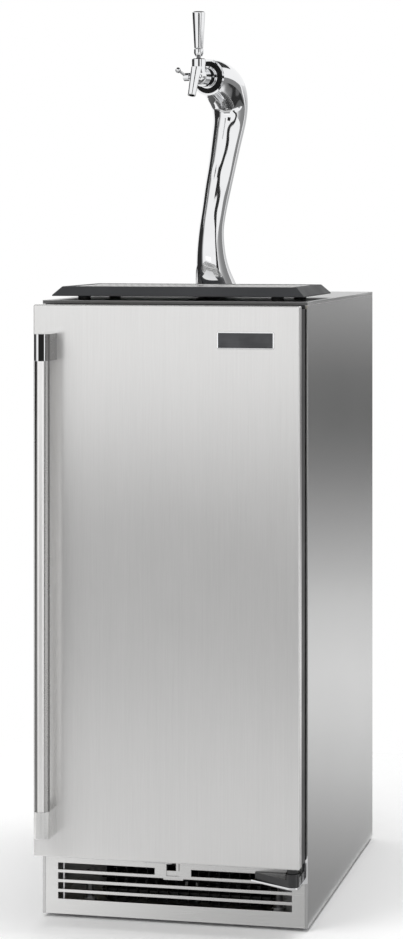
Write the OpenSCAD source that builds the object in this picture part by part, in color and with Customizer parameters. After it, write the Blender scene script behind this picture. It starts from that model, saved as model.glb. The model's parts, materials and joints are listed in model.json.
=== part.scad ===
// Draft beer dispenser: an undercounter cooled cabinet with a hinged door,
// a curved tower, one flow-control tap and a lift-off drip tray.
// Millimetres, +Z up, the door faces -Y. The origin lies on the floor,
// at the middle of the object's box.

/* [Cabinet] */
// Outside width of the shell
shell_w = 378; // [360:1:460]
// Depth of the shell without the door
shell_d = 559; // [540:1:640]
// Height of the shell without the legs
shell_h = 859; // [840:1:940]
// Thickness of the steel sheet
sheet_t = 1.2; // [0.8:0.1:2]
// Width of the folded front edge of a side panel
edge_w = 4.3; // [3:0.1:8]
// Height of the folded rim of the top panel
top_rim_h = 4.5; // [3:0.5:8]
// Thickness of the base pan
base_t = 2; // [1.5:0.5:4]
// Foam between the side panels and the liner
side_foam = 34; // [25:1:40]
// Foam between the rear panel and the liner
rear_foam = 42; // [30:1:60]
// Foam above the liner
top_foam = 44; // [30:1:60]
// Foam under the liner
floor_foam = 30; // [25:1:40]
// Thickness of the liner
liner_t = 1.5; // [1:0.5:3]
// Height of the cavity floor above the lower edge of the shell
cavity_floor = 132; // [128:1:150]
// Depth of the raised step over the compressor
step_d = 165; // [160:1:190]
// Height of the raised step over the compressor
step_h = 118; // [112:1:150]
// Depth of the frame round the cavity mouth
mouth_frame_t = 3; // [2:0.5:6]

/* [Legs] */
// Gap between the floor and the shell
leg_gap = 5; // [4:1:8]
// Diameter of a foot
foot_d = 40; // [30:1:46]
// Thickness of a foot
foot_t = 4; // [3:0.5:4]
// Diameter of a leg stud
stud_d = 10; // [8:1:12]
// Length of a leg stud
stud_l = 38; // [34:1:44]
// Distance of a leg from the shell's side
leg_inset_x = 52; // [48:1:70]
// Distance of a leg from the shell's front and rear
leg_inset_y = 60; // [52:1:80]

/* [Door] */
// Gap between a side of the door and the side of the shell
door_side_gap = 1.8; // [1:0.1:6]
// Height of the door's lower edge above the shell's lower edge
door_low = 92; // [90:1:96]
// Gap between the top of the door and the top of the shell
door_top_gap = 4.6; // [4:0.1:8]
// Distance of the door's face from the front of the shell
door_reach = 52; // [50:0.5:60]
// Depth of the folded edge of the door skin
skin_fold = 14; // [11:0.5:15]
// Gap between the door's back and the shell
door_back_gap = 6; // [5.5:0.1:8]
// Wall of the door's inner tray
door_wall = 2.4; // [2:0.1:3]
// Step of the inner tray in from the edge of the skin
tray_step = 1.4; // [1:0.1:2.5]
// Drop of the inner tray's top under the top of the skin
tray_drop = 5; // [4.8:0.1:6]
// Width of the seal
seal_w = 15; // [10:1:20]
// Distance of the seal from the door's edge
seal_inset = 17; // [16:0.5:22]
// Width of the badge plate
badge_w = 78.5; // [60:0.5:90]
// Height of the badge plate
badge_h = 23; // [16:0.5:30]
// Thickness of the badge plate
badge_t = 1.6; // [1:0.1:3]
// Middle of the badge plate from the hinged edge of the door
badge_inset = 74.6; // [60:0.1:100]
// Middle of the badge plate below the top of the door
badge_drop = 47; // [35:0.5:70]

/* [Handle] */
// Diameter of the handle bar
bar_d = 21; // [16:0.5:24]
// Width of a handle bracket
bracket_w = 23.2; // [23.2:0.1:28]
// Distance of the bar's middle from the door's face
bar_reach = 32; // [28:0.5:60]
// Distance of the bar's middle from the free edge of the door
bar_inset = 22.2; // [20:0.1:40]
// Height of a handle bracket
bracket_h = 37; // [28:0.5:50]
// Gap between the upper bracket and the top of the door
bracket_top_gap = 39; // [30:0.5:60]
// Gap between the lower bracket and the bottom of the door
bracket_low_gap = 33.5; // [25:0.5:60]
// Thickness of a bracket's closed end
bracket_cap = 4; // [3:0.5:8]

/* [Hinge] */
// Distance of the hinge axis from the door's edge
pivot_inset = 14.2; // [13:0.1:15]
// Distance of the hinge axis from the front of the shell
pivot_reach = 30; // [29:0.5:30.5]
// Diameter of a hinge pin
pin_d = 8; // [6:0.5:9]
// Length of a hinge pin in the door
pin_l = 22; // [16:1:30]
// Wall of a hinge bush
bush_wall = 2.5; // [2:0.5:3]
// Thickness of the hinge plates
hinge_t = 3; // [2:0.5:3]
// Diameter of the lower knuckle
knuckle_d = 20; // [18:0.5:22]
// Height of the lower knuckle
knuckle_h = 18; // [12:0.5:20]
// Height of the lower hinge plate above the shell's lower edge
hinge_low = 61.5; // [58:0.5:63]
// Length of the lower hinge plate along the shell's front
hinge_plate_l = 73; // [60:1:90]

/* [Toe grille] */
// Height of the grille
grille_h = 84; // [80:1:84]
// Thickness of the grille
grille_t = 2; // [1.5:0.5:3]
// Height of a slot
slot_h = 9.2; // [7:0.1:10]
// Distance from slot to slot
slot_pitch = 13.7; // [13:0.1:14]
// Middle of the lowest slot above the shell's lower edge
slot_low = 25.9; // [22:0.1:27]
// Distance of the slots' ends from the shell's sides
slot_margin = 22.5; // [16:0.5:30]
// Number of slot rows
slot_rows = 4; // [3:1:4]
// Width of the lock notch
notch_w = 18.4; // [16:0.1:24]
// Width of a post beside the notch
post_w = 16.8; // [12:0.1:24]
// Height of the lower edge of the notch
notch_low = 61.5; // [60:0.1:66]

/* [Drip tray] */
// Gap between a side of the tray's foot and the side of the shell
tray_side_gap = 9; // [5:0.5:30]
// Depth of the tray at its foot
tray_d = 217; // [200:1:225]
// Distance of the tray's foot from the front of the shell
tray_y = 15; // [8:0.5:18]
// Height of the tray
tray_h = 13.5; // [12:0.5:20]
// Run of the sloped sides
tray_slope = 12; // [6:0.5:16]
// Upright edge under the slope
tray_lip = 1.5; // [1:0.5:3]
// Height of the tray's feet
tray_foot_h = 5.5; // [4:0.5:7]
// Diameter of a tray foot
tray_foot_d = 18; // [12:1:24]
// Distance of the tray feet from the tray's sides
tray_foot_inset = 41; // [30:1:60]
// Distance of the tray feet from the tray's front and rear
tray_foot_inset_y = 24; // [20:1:40]
// Width of the tray's rim
tray_rim = 10; // [6:0.5:16]
// Floor of the tray
tray_floor = 3; // [2:0.5:4]
// Thickness of the grate
grate_t = 2; // [1.5:0.5:3]
// Depth of the ledge that carries the grate
grate_ledge = 6; // [4:0.5:10]
// Distance from grate slot to grate slot
grate_pitch = 11; // [9:0.5:16]
// Width of a grate slot
grate_slot_w = 5; // [4.5:0.5:7]

/* [Tower] */
// Distance of the tower from the front of the shell
tower_y = 280; // [278:1:300]
// Turn of the tower towards the handle side, in degrees
tower_turn = 15; // [0:1:40]
// Diameter of the tower's base seal
base_seal_d = 105; // [90:1:120]
// Thickness of the tower's base seal
base_seal_t = 2.5; // [1:0.5:3]
// Wall of the tower
tower_wall = 3; // [2:0.5:4]
// Diameter of the beer line
line_d = 9.5; // [7:0.5:11]
// Diameter of the bushing that takes the line through the roof
roof_bush_d = 22; // [18:1:26]

/* [Tap] */
// Height of the shank above the shell
tap_up = 324; // [322:0.5:326]
// Distance of the lever's axis in front of the tower's axis
lever_u = 60; // [60:0.5:70]
// Diameter of the shank
shank_d = 22; // [18:0.5:24]
// Diameter of the coupling nut
nut_d = 29; // [28:0.5:36]
// Length of the coupling nut
nut_l = 15; // [13:0.5:15.5]
// Diameter of the tap's barrel
barrel_d = 24; // [20:0.5:25]
// Diameter of the bonnet
bonnet_d = 21; // [20.6:0.2:26]
// Height of the bonnet
bonnet_h = 12; // [10:0.5:14]
// Height of the bonnet's top above the shank
bonnet_up = 26; // [26:0.5:30]
// Diameter of the lever's ball
ball_d = 16; // [14:0.5:16]
// Diameter of the lever's stem
stem_d = 6; // [5:0.5:7]
// Diameter of the spout at its root
spout_root_d = 16; // [14:0.5:20]
// Diameter of the spout at its mouth
spout_mouth_d = 12; // [11:0.5:14]
// Length of the spout
spout_l = 45.5; // [42:0.5:60]
// Lean of the spout, in degrees
spout_lean = 20; // [10:1:26]
// Bore of the spout
spout_bore = 8; // [6:0.5:9]
// Lower diameter of the lever handle
handle_low_d = 13.6; // [13:0.2:16]
// Upper diameter of the lever handle
handle_top_d = 19.6; // [18:0.2:26]
// Length of the lever handle
handle_l = 54; // [40:0.5:90]
// Height of the ferrule under the handle
ferrule_h = 12; // [11:0.5:20]
// Diameter of the flow lever's hub
flow_hub_d = 12; // [9:0.5:14]
// Length of the flow lever's arm
flow_arm_l = 18; // [14:0.5:26]

/* [Cooling] */
// Diameter of the compressor
compressor_d = 128; // [110:1:140]
// Height of the compressor
compressor_h = 165; // [130:1:170]
// Diameter of the condenser fan
fan_d = 72; // [60:1:74]
// Diameter of the evaporator fan
cold_fan_d = 92; // [80:1:100]
// Depth of the evaporator's cover
cold_cover_d = 46; // [42:1:60]
// Width of the evaporator's cover
cold_cover_w = 230; // [180:1:250]
// Height of the evaporator's cover
cold_cover_h = 290; // [240:1:340]
// Thickness of the sheet covers
cover_t = 1.5; // [1:0.5:2.5]
// Diameter of a fan's shaft
fan_shaft_d = 6; // [4:0.5:8]
// Diameter of the thermostat dial
dial_d = 30; // [22:1:34]

/* [Fits] */
// Radial clearance of a turning or sliding fit
run_fit = 0.06; // [0.02:0.01:0.1]
// Clearance round a piece that is only placed
loose_fit = 0.4; // [0.3:0.1:0.8]

/* [Hidden] */
$fn = 64;

// The fittings stand this far out of the rear panel
rear_reach = 9;

// The shell's front plane, so that the object's box is centred on the origin
front_reach = door_reach + bar_reach + bracket_w / 2;
front_y = (front_reach - shell_d - rear_reach) / 2;
half_w = shell_w / 2;
rim_low = shell_h - top_rim_h;

// The cavity and the space under it
cavity_w = shell_w - 2 * (sheet_t + side_foam + liner_t);
cavity_rear = shell_d - sheet_t - rear_foam - liner_t;
cavity_top = shell_h - sheet_t - top_foam - liner_t;
step_y = cavity_rear - step_d;
liner_seam = 0.2;
machine_top = cavity_floor - liner_t - floor_foam;

// The door
door_w = shell_w - 2 * door_side_gap;
badge_x = door_w / 2 - badge_inset;
bar_x = door_w / 2 - bar_inset;
door_high = shell_h - door_top_gap;
tray_front = skin_fold - door_reach;
tray_half_w = door_w / 2 - tray_step;
tray_low = door_low + tray_step;
tray_high = door_high - tray_drop;
pivot_x = door_w / 2 - pivot_inset;
bush_d = pin_d + 2 * bush_wall;
bush_flange_d = bush_d + 2;
bar_y = -door_reach - bar_reach;
upper_bracket_z = door_high - bracket_top_gap - bracket_h;
lower_bracket_z = door_low + bracket_low_gap;
badge_frame = 1.2;

// The lock under the door
lock_x = -1.3;
lock_y = -24;
lock_barrel_d = 16;
lock_barrel_l = 28;
lock_spindle_d = 6;
cam_t = 2.5;
cam_reach = 35;
cam_hook = 8;
cam_half_w = 3;
cam_tip_w = 5;
cam_z = grille_h + 1.2;
catch_t = 2;
frame_low = cam_z + cam_t + 3.5;

// The tower's stations: distance forward, height above the shell, diameter
stations = [
    [0, base_seal_t, 66], [12.5, 29, 54], [19, 50, 47], [21.5, 72, 42], [19.5, 100, 37.5],
    [10, 130, 37.5], [-1, 160, 40], [-15, 194, 42], [-29, 232, 46], [-39.5, 261, 50],
    [-40.5, 282, 55], [-34, 298, 60], [-22, 310.5, 62.5], [-8.5, 317.5, 61],
    [5, tap_up - 2.5, 59], [17.5, tap_up - 0.5, 56.5], [30, tap_up, 54]
];
face_u = stations[len(stations) - 1][0];
face_bore_d = stations[len(stations) - 1][2] - 2 * tower_wall;
station_steps = 3;
tower_sides = 28;
line_sides = 8;
roof_bush_up = 14;
roof_bush_drop = 18;
roof_flange_d = roof_bush_d + 12;
roof_flange_t = 3;

// The tap, measured forward from the tower's axis and up from the shank's axis
shank_tail = 14;
collar_t = 3;
collar_d = 33;
nut_gap = 0.6;
nut_u = face_u + collar_t + nut_gap;
seat_u = nut_u + nut_l * 0.42;
valve_bore_d = 10;
valve_l = 16;
valve_front = 7;
ball_up = bonnet_up - bonnet_h / 2;
bonnet_low = bonnet_up - bonnet_h;
lever_pin_d = 3;
lever_pin_reach = 1.4;
tail_d = 4;
tail_below = 4;
lever_gap = 3.4;
lever_swing = 24;
ferrule_up = bonnet_up + lever_gap;
handle_up = ferrule_up + ferrule_h;
stem_grip = 20;
spout_ahead = 6.5;
flow_u = lever_u - 7;
flow_shaft_d = 7;
flow_neck = 6;
flow_hub_l = 9;
flow_pitch = 38;
flow_splay = 30;
flow_arm_d = 4;
flow_knob_d = 8.4;

// The cooling set
compressor_y = shell_d - compressor_d / 2 - 36;
compressor_foot = 14;
condenser_w = 240;
condenser_d = 44;
condenser_h = 84;
condenser_y = 88;
condenser_fins = 16;
fan_gap = 3;
shroud_y = condenser_y + condenser_d;
shroud_h = 90;
fan_axis_z = base_t + shroud_h / 2;
fan_hub_d = 24;
fan_hub_l = 12;
fan_blades = 5;
fan_set = 18;
spider_w = 8;
spider_t = 3;
cold_top_gap = 20;
cold_low = cavity_top - cold_top_gap - cold_cover_h;
cold_front = cavity_rear - cold_cover_d;
cold_fan_z = cold_low + cold_cover_h - cold_fan_d / 2 - 34;
cold_coil_d = 20;
cold_coil_w = cold_cover_w - 30;
cold_coil_margin = 15;
thermostat_x = 62;
thermostat_y = 34;
thermostat_w = 110;
thermostat_d = 60;
thermostat_h = 38;
dial_t = 12;
dial_shaft_d = 6;
lamp_x = -75;
lamp_w = 96;
lamp_d = 40;
lamp_h = 14;

// The rear fittings
gas_x = -cavity_w / 2 + 24;
gas_z = cavity_floor + step_h + 60;
gas_d = 16;
gas_bore = 7;
gas_tail = 18;
gas_nut_d = 26;
gas_nut_t = 5;
gland_x = half_w - 60;
gland_z = 60;
gland_d = 22;
gland_l = 20;
gland_bore = 9;

// Puts children in the shell's frame: y from its front plane, z from its lower edge
module in_shell() {
    translate([0, front_y, leg_gap]) children();
}

// Puts children on the tower's axis at the top of the shell, with the tap towards -Y
module at_tower() {
    translate([0, front_y + tower_y, leg_gap + shell_h]) rotate(-tower_turn) children();
}

// Puts children on the shank's axis, a distance forward of the tower, with +Z forward
module along_shank(forward) {
    translate([0, -forward, tap_up]) rotate([90, 0, 0]) children();
}

// A box centred on x = 0, given by its width and its y and z limits
module slab(w, y0, y1, z0, z1) {
    translate([-w / 2, y0, z0]) cube([w, y1 - y0, z1 - z0]);
}

// A profile in y and z, drawn out along x
module along_x(w) {
    rotate([90, 0, 90]) translate([0, 0, -w / 2]) linear_extrude(w) children();
}

// A tube along z
module tube(d, bore, h) {
    difference() {
        cylinder(d = d, h = h);
        translate([0, 0, -1]) cylinder(d = bore, h = h + 2);
    }
}

// The cavity's side view, grown outwards by a wall
function cavity_outline(wall) = [
    [mouth_frame_t, cavity_floor - wall],
    [step_y + wall, cavity_floor - wall],
    [step_y + wall, cavity_floor + step_h - wall],
    [cavity_rear + wall, cavity_floor + step_h - wall],
    [cavity_rear + wall, cavity_top + wall],
    [mouth_frame_t, cavity_top + wall]
];

module side_panel(side) {
    in_shell() mirror([side < 0 ? 1 : 0, 0, 0]) linear_extrude(rim_low) polygon([
        [half_w, 0], [half_w, shell_d], [half_w - sheet_t, shell_d],
        [half_w - sheet_t, sheet_t], [half_w - edge_w, sheet_t], [half_w - edge_w, 0]
    ]);
}

module left_side_panel() {
    color("silver") side_panel(-1);
}

module right_side_panel() {
    color("silver") side_panel(1);
}

module top_panel() {
    color("gainsboro") difference() {
        in_shell() difference() {
            slab(shell_w, 0, shell_d, rim_low, shell_h);
            slab(shell_w - 2 * sheet_t, sheet_t, shell_d - sheet_t, rim_low - 1, shell_h - sheet_t);
        }
        at_tower() translate([0, 0, -top_rim_h]) cylinder(d = roof_bush_d + 2 * loose_fit, h = 2 * top_rim_h);
    }
}

module rear_panel() {
    louvre_margin = 70;
    louvre_w = shell_w - 2 * louvre_margin;
    louvre_h = 6;
    louvre_pitch = 16;
    color("silver") in_shell() difference() {
        slab(shell_w - 2 * sheet_t, shell_d - sheet_t, shell_d, 0, rim_low);
        for (row = [0 : 5]) {
            z = gland_z + 44 + row * louvre_pitch;
            slab(louvre_w, shell_d - 2 * sheet_t, shell_d + 1, z, z + louvre_h);
        }
        translate([gas_x, shell_d + 1, gas_z]) rotate([90, 0, 0])
            cylinder(d = gas_d + 2 * loose_fit, h = 2 * sheet_t + 2);
        translate([gland_x, shell_d + 1, gland_z]) rotate([90, 0, 0])
            cylinder(d = gland_d + 2 * loose_fit, h = 2 * sheet_t + 2);
    }
}

// The places of the four legs
function leg_place(side, end) = [
    side * (half_w - leg_inset_x),
    end < 0 ? leg_inset_y : shell_d - leg_inset_y,
    0
];

module base_pan() {
    boss_d = stud_d + 10;
    boss_h = 10;
    color("dimgray") in_shell() difference() {
        union() {
            slab(shell_w - 2 * sheet_t, grille_t, shell_d - sheet_t, 0, base_t);
            for (side = [-1, 1], end = [-1, 1])
                translate(leg_place(side, end)) cylinder(d = boss_d, h = base_t + boss_h);
        }
        for (side = [-1, 1], end = [-1, 1])
            translate(leg_place(side, end) - [0, 0, 1])
                cylinder(d = stud_d + 2 * run_fit, h = base_t + boss_h + 2);
    }
}

module leg(side, end) {
    hex_d = 14;
    color("dimgray") in_shell() translate(leg_place(side, end) - [0, 0, leg_gap]) {
        cylinder(d = foot_d, h = foot_t / 2);
        translate([0, 0, foot_t / 2]) cylinder(d1 = foot_d, d2 = hex_d, h = foot_t / 2);
        cylinder(d = stud_d, h = stud_l);
    }
}

module front_left_leg() {
    leg(-1, -1);
}

module front_right_leg() {
    leg(1, -1);
}

module rear_left_leg() {
    leg(-1, 1);
}

module rear_right_leg() {
    leg(1, 1);
}

// What passes from the cavity through the foam: the tower's bushing and the gas inlet
module wall_holes() {
    at_tower() translate([0, 0, -top_foam - 2 * roof_bush_drop])
        cylinder(d = roof_bush_d + 2 * loose_fit, h = top_foam + 2 * roof_bush_drop + 1);
    in_shell() translate([gas_x, shell_d + 1, gas_z]) rotate([90, 0, 0])
        cylinder(d = gas_d + 2 * loose_fit, h = shell_d - cavity_rear + 2);
}

// The liner's sheets: two sides, roof, rear, step, riser and floor, with open seams between them
module inner_liner() {
    sheet_w = cavity_w - 2 * liner_seam;
    side_x = (cavity_w + liner_t) / 2;
    step_top = cavity_floor + step_h;
    color("whitesmoke") difference() {
        in_shell() {
            for (x = [-side_x, side_x])
                translate([x, 0, 0]) along_x(liner_t) polygon(cavity_outline(liner_t));
            slab(sheet_w, mouth_frame_t, cavity_rear - liner_seam, cavity_top, cavity_top + liner_t);
            slab(sheet_w, cavity_rear, cavity_rear + liner_t, step_top - liner_t, cavity_top + liner_t);
            slab(sheet_w, step_y, cavity_rear - liner_seam, step_top - liner_t, step_top);
            slab(
                sheet_w, step_y, step_y + liner_t,
                cavity_floor - liner_t, step_top - liner_t - liner_seam
            );
            slab(sheet_w, mouth_frame_t, step_y - liner_seam, cavity_floor - liner_t, cavity_floor);
        }
        wall_holes();
    }
}

module foam_insulation() {
    low_step = step_y + liner_t + floor_foam;
    color("khaki") difference() {
        in_shell() difference() {
            along_x(shell_w - 2 * sheet_t) polygon([
                [mouth_frame_t, machine_top], [low_step, machine_top],
                [low_step, machine_top + step_h], [shell_d - sheet_t, machine_top + step_h],
                [shell_d - sheet_t, shell_h - sheet_t], [mouth_frame_t, shell_h - sheet_t]
            ]);
            along_x(cavity_w + 2 * liner_t) polygon(cavity_outline(liner_t));
            slab(cavity_w, mouth_frame_t - 1, mouth_frame_t + 1, cavity_floor, cavity_top);
        }
        wall_holes();
    }
}

module mouth_frame() {
    color("gray") in_shell() difference() {
        slab(shell_w - 2 * edge_w, 0, mouth_frame_t, frame_low, rim_low);
        slab(cavity_w, -1, mouth_frame_t + 1, cavity_floor, cavity_top);
    }
}

module toe_grille() {
    slot_l = shell_w - 2 * slot_margin;
    color("silver") in_shell() difference() {
        slab(shell_w - 2 * edge_w, 0, grille_t, 0, grille_h);
        for (row = [0 : slot_rows - 1]) {
            z = slot_low + row * slot_pitch - slot_h / 2;
            difference() {
                slab(slot_l, -1, grille_t + 1, z, z + slot_h);
                if (row == slot_rows - 1)
                    translate([lock_x, 0, 0])
                        slab(notch_w + 2 * post_w, -2, grille_t + 2, z - 1, z + slot_h + 1);
            }
        }
        translate([lock_x, 0, 0]) slab(notch_w, -1, grille_t + 1, notch_low, grille_h + 1);
    }
}

module lock_catch() {
    plate_w = notch_w + 10;
    plate_low = notch_low - 6;
    plate_high = notch_low + 7;
    tab_x = cam_half_w + 1;
    tab_w = 4;
    color("lightgray") in_shell() translate([lock_x, grille_t, 0]) {
        slab(plate_w, 0, catch_t, plate_low, plate_high);
        translate([tab_x, 0, plate_low]) cube([tab_w, catch_t, cam_z + cam_t + 2 - plate_low]);
    }
}

module keg_floor() {
    plate_t = 1.5;
    lip_h = 8;
    plate_w = cavity_w - 2 * loose_fit;
    plate_y0 = mouth_frame_t + 8;
    plate_y1 = step_y - loose_fit;
    color("lightsteelblue") in_shell() {
        slab(plate_w, plate_y0, plate_y1, cavity_floor, cavity_floor + plate_t);
        slab(plate_w, plate_y0, plate_y0 + plate_t, cavity_floor, cavity_floor + lip_h);
        slab(plate_w, plate_y1 - plate_t, plate_y1, cavity_floor, cavity_floor + lip_h);
    }
}

module compressor() {
    dome_r = compressor_d / 2;
    wall_h = compressor_h - compressor_foot - 40;
    pad_w = compressor_d + 30;
    pad_t = 3;
    color("black") in_shell() translate([0, compressor_y, base_t]) {
        for (side = [-1, 1], end = [-1, 1])
            translate([side * (pad_w / 2 - 12), end * dome_r * 0.7, 0]) cylinder(d = 18, h = compressor_foot);
        translate([-pad_w / 2, -dome_r * 0.85, compressor_foot]) cube([pad_w, dome_r * 1.7, pad_t]);
        translate([0, 0, compressor_foot]) cylinder(r = dome_r, h = wall_h);
        translate([0, 0, compressor_foot + wall_h]) intersection() {
            sphere(r = dome_r);
            cylinder(r = dome_r + 1, h = 40);
        }
    }
}

module condenser_coil() {
    tube_d = 8;
    rows = 4;
    fin_t = 0.8;
    color("black") in_shell() translate([0, condenser_y, base_t]) {
        for (i = [0 : condenser_fins]) {
            x = -condenser_w / 2 + i * (condenser_w - fin_t) / condenser_fins;
            translate([x, 0, 0]) cube([fin_t, condenser_d, condenser_h]);
        }
        for (row = [0 : rows - 1], y = [condenser_d / 4, condenser_d * 3 / 4])
            translate([-condenser_w / 2 - tube_d, y, (row + 0.5) * condenser_h / rows])
                rotate([0, 90, 0]) cylinder(d = tube_d, h = condenser_w + 2 * tube_d);
    }
}

// Four posts behind a round opening, with a cross of two bars and the fan's shaft on them
module fan_carrier(opening_d) {
    reach = opening_d / 2 + 1 + spider_w;
    rotate([-90, 0, 0]) {
        for (turn = [45 : 90 : 315])
            rotate(turn) translate([reach - spider_w, -spider_w / 2, cover_t / 2])
                cube([spider_w, spider_w, fan_set + spider_t - cover_t / 2]);
        for (turn = [45, 135])
            rotate(turn) translate([-reach, -spider_w / 2, fan_set]) cube([2 * reach, spider_w, spider_t]);
        translate([0, 0, fan_set + 2 - fan_hub_l]) cylinder(d = fan_shaft_d, h = fan_hub_l);
    }
}

// A fan on its shaft, with the hub's open end at z = 0
module fan_wheel(d) {
    blade_t = 1.6;
    blade_w = fan_hub_l - 1;
    difference() {
        union() {
            cylinder(d = fan_hub_d, h = fan_hub_l);
            for (i = [0 : fan_blades - 1])
                rotate(i * 360 / fan_blades) intersection() {
                    translate([0, 0, fan_hub_l / 2]) rotate([28, 0, 0])
                        translate([0, -blade_w, -blade_t / 2]) cube([d / 2, 2 * blade_w, blade_t]);
                    cylinder(d = d, h = fan_hub_l);
                }
        }
        translate([0, 0, -1]) cylinder(d = fan_shaft_d + 2 * run_fit, h = fan_hub_l - 1);
    }
}

// The condenser fan's place: the shroud's plate faces the condenser
module at_condenser_fan() {
    in_shell() translate([0, shroud_y, fan_axis_z]) children();
}

module condenser_shroud() {
    shroud_w = condenser_w;
    opening_d = fan_d + 2 * fan_gap;
    color("dimgray") at_condenser_fan() {
        difference() {
            slab(shroud_w, 0, cover_t, -shroud_h / 2, shroud_h / 2);
            translate([0, cover_t + 1, 0]) rotate([90, 0, 0]) cylinder(d = opening_d, h = cover_t + 2);
        }
        fan_carrier(opening_d);
    }
}

module condenser_fan() {
    color("darkslategray") at_condenser_fan()
        translate([0, fan_set - 1, 0]) rotate([90, 0, 0]) fan_wheel(fan_d);
}

module evaporator_coil() {
    fins = 14;
    fin_t = 0.8;
    plate_t = 2;
    coil_h = cold_cover_h - 2 * cold_coil_margin;
    color("lightgray") in_shell() translate([0, 0, cold_low + cold_coil_margin]) {
        slab(cold_coil_w, cavity_rear - plate_t, cavity_rear, 0, coil_h);
        for (i = [0 : fins]) {
            x = -cold_coil_w / 2 + i * (cold_coil_w - fin_t) / fins;
            translate([x, cavity_rear - cold_coil_d, 0]) cube([fin_t, cold_coil_d, coil_h]);
        }
    }
}

module at_evaporator_fan() {
    in_shell() translate([0, cold_front, cold_fan_z]) children();
}

module evaporator_cover() {
    opening_d = cold_fan_d + 2 * fan_gap;
    intake_rows = 6;
    intake_pitch = 14;
    intake_h = 6;
    color("whitesmoke") {
        in_shell() difference() {
            slab(cold_cover_w, cold_front, cavity_rear, cold_low, cold_low + cold_cover_h);
            slab(
                cold_cover_w - 2 * cover_t, cold_front + cover_t, cavity_rear + 1,
                cold_low + cover_t, cold_low + cold_cover_h - cover_t
            );
            translate([0, cold_front + cover_t + 1, cold_fan_z]) rotate([90, 0, 0])
                cylinder(d = opening_d, h = cover_t + 2);
            for (row = [0 : intake_rows - 1]) {
                z = cold_low + 20 + row * intake_pitch;
                slab(cold_cover_w - 60, cold_front - 1, cold_front + cover_t + 1, z, z + intake_h);
            }
        }
        at_evaporator_fan() fan_carrier(opening_d);
    }
}

module evaporator_fan() {
    color("gray") at_evaporator_fan()
        translate([0, fan_set - 1, 0]) rotate([90, 0, 0]) fan_wheel(cold_fan_d);
}

module at_dial() {
    in_shell() translate([thermostat_x, thermostat_y, cavity_top - thermostat_h / 2])
        rotate([90, 0, 0]) children();
}

module thermostat_housing() {
    color("whitesmoke") difference() {
        in_shell() translate([thermostat_x, 0, 0]) slab(
            thermostat_w, thermostat_y, thermostat_y + thermostat_d,
            cavity_top - thermostat_h, cavity_top
        );
        at_dial() translate([0, 0, -dial_t]) cylinder(d = dial_shaft_d + 2 * run_fit, h = dial_t + 1);
    }
}

module thermostat_dial() {
    pointer_w = 3;
    color("black") at_dial() {
        translate([0, 0, loose_fit]) cylinder(d = dial_d, h = dial_t / 2);
        translate([0, 0, loose_fit]) cylinder(d = dial_d * 0.7, h = dial_t);
        translate([-pointer_w / 2, 0, loose_fit]) cube([pointer_w, dial_d / 2 - 1, dial_t]);
        translate([0, 0, -dial_t + 1]) cylinder(d = dial_shaft_d, h = dial_t);
    }
}

module interior_lamp() {
    color("ivory") in_shell() translate([lamp_x, thermostat_y + lamp_d / 2, cavity_top]) {
        translate([-lamp_w / 2, -lamp_d / 2, -lamp_h / 3]) cube([lamp_w, lamp_d, lamp_h / 3]);
        intersection() {
            translate([-lamp_w / 2, -lamp_d / 2, -lamp_h]) cube([lamp_w, lamp_d, lamp_h]);
            translate([0, 0, lamp_d * 0.6 - lamp_h]) rotate([0, 90, 0])
                cylinder(r = lamp_d * 0.6, h = lamp_w - 6, center = true);
        }
    }
}

module gas_inlet() {
    barb_l = rear_reach - gas_nut_t;
    inside_l = shell_d - cavity_rear + gas_tail;
    color("goldenrod") in_shell() translate([gas_x, shell_d, gas_z]) rotate([90, 0, 0]) difference() {
        union() {
            translate([0, 0, -gas_nut_t]) cylinder(d = gas_nut_d, h = gas_nut_t, $fn = 6);
            translate([0, 0, -rear_reach]) cylinder(d = gas_d - 2, h = barb_l + 1);
            cylinder(d = gas_d, h = inside_l);
            translate([0, 0, shell_d - cavity_rear]) cylinder(d = gas_nut_d, h = gas_nut_t);
        }
        translate([0, 0, -rear_reach - 1]) cylinder(d = gas_bore, h = inside_l + rear_reach + 2);
    }
}

module power_gland() {
    flange_t = rear_reach - 2;
    color("black") in_shell() translate([gland_x, shell_d, gland_z]) rotate([90, 0, 0]) difference() {
        union() {
            translate([0, 0, -flange_t]) cylinder(d = gland_d + 10, h = flange_t);
            cylinder(d = gland_d, h = gland_l);
        }
        translate([0, 0, -flange_t - 1]) cylinder(d = gland_bore, h = gland_l + flange_t + 2);
    }
}

// Puts children on the hinge axis, a height above the shell's lower edge
module at_hinge(z) {
    in_shell() translate([pivot_x, -pivot_reach, z]) children();
}

upper_plate_z = tray_high + (tray_drop - sheet_t - hinge_t) / 2;
knuckle_low = hinge_low + hinge_t;
knuckle_high = knuckle_low + knuckle_h;

module upper_hinge_plate() {
    eye_r = pin_d / 2 + 2.4;
    wing_w = 3 * eye_r;
    wing_h = seal_inset;
    wing_t = 1.2;
    color("dimgray") difference() {
        union() {
            at_hinge(upper_plate_z) {
                cylinder(r = eye_r, h = hinge_t);
                translate([-eye_r, 0, 0]) cube([2 * eye_r, pivot_reach, hinge_t]);
            }
            at_hinge(upper_plate_z + hinge_t - wing_h)
                translate([-wing_w - eye_r, pivot_reach - wing_t, 0])
                    cube([wing_w + 2 * eye_r, wing_t, wing_h]);
        }
        at_hinge(upper_plate_z - 1) cylinder(d = pin_d + 2 * run_fit, h = hinge_t + 2);
    }
}

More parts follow.
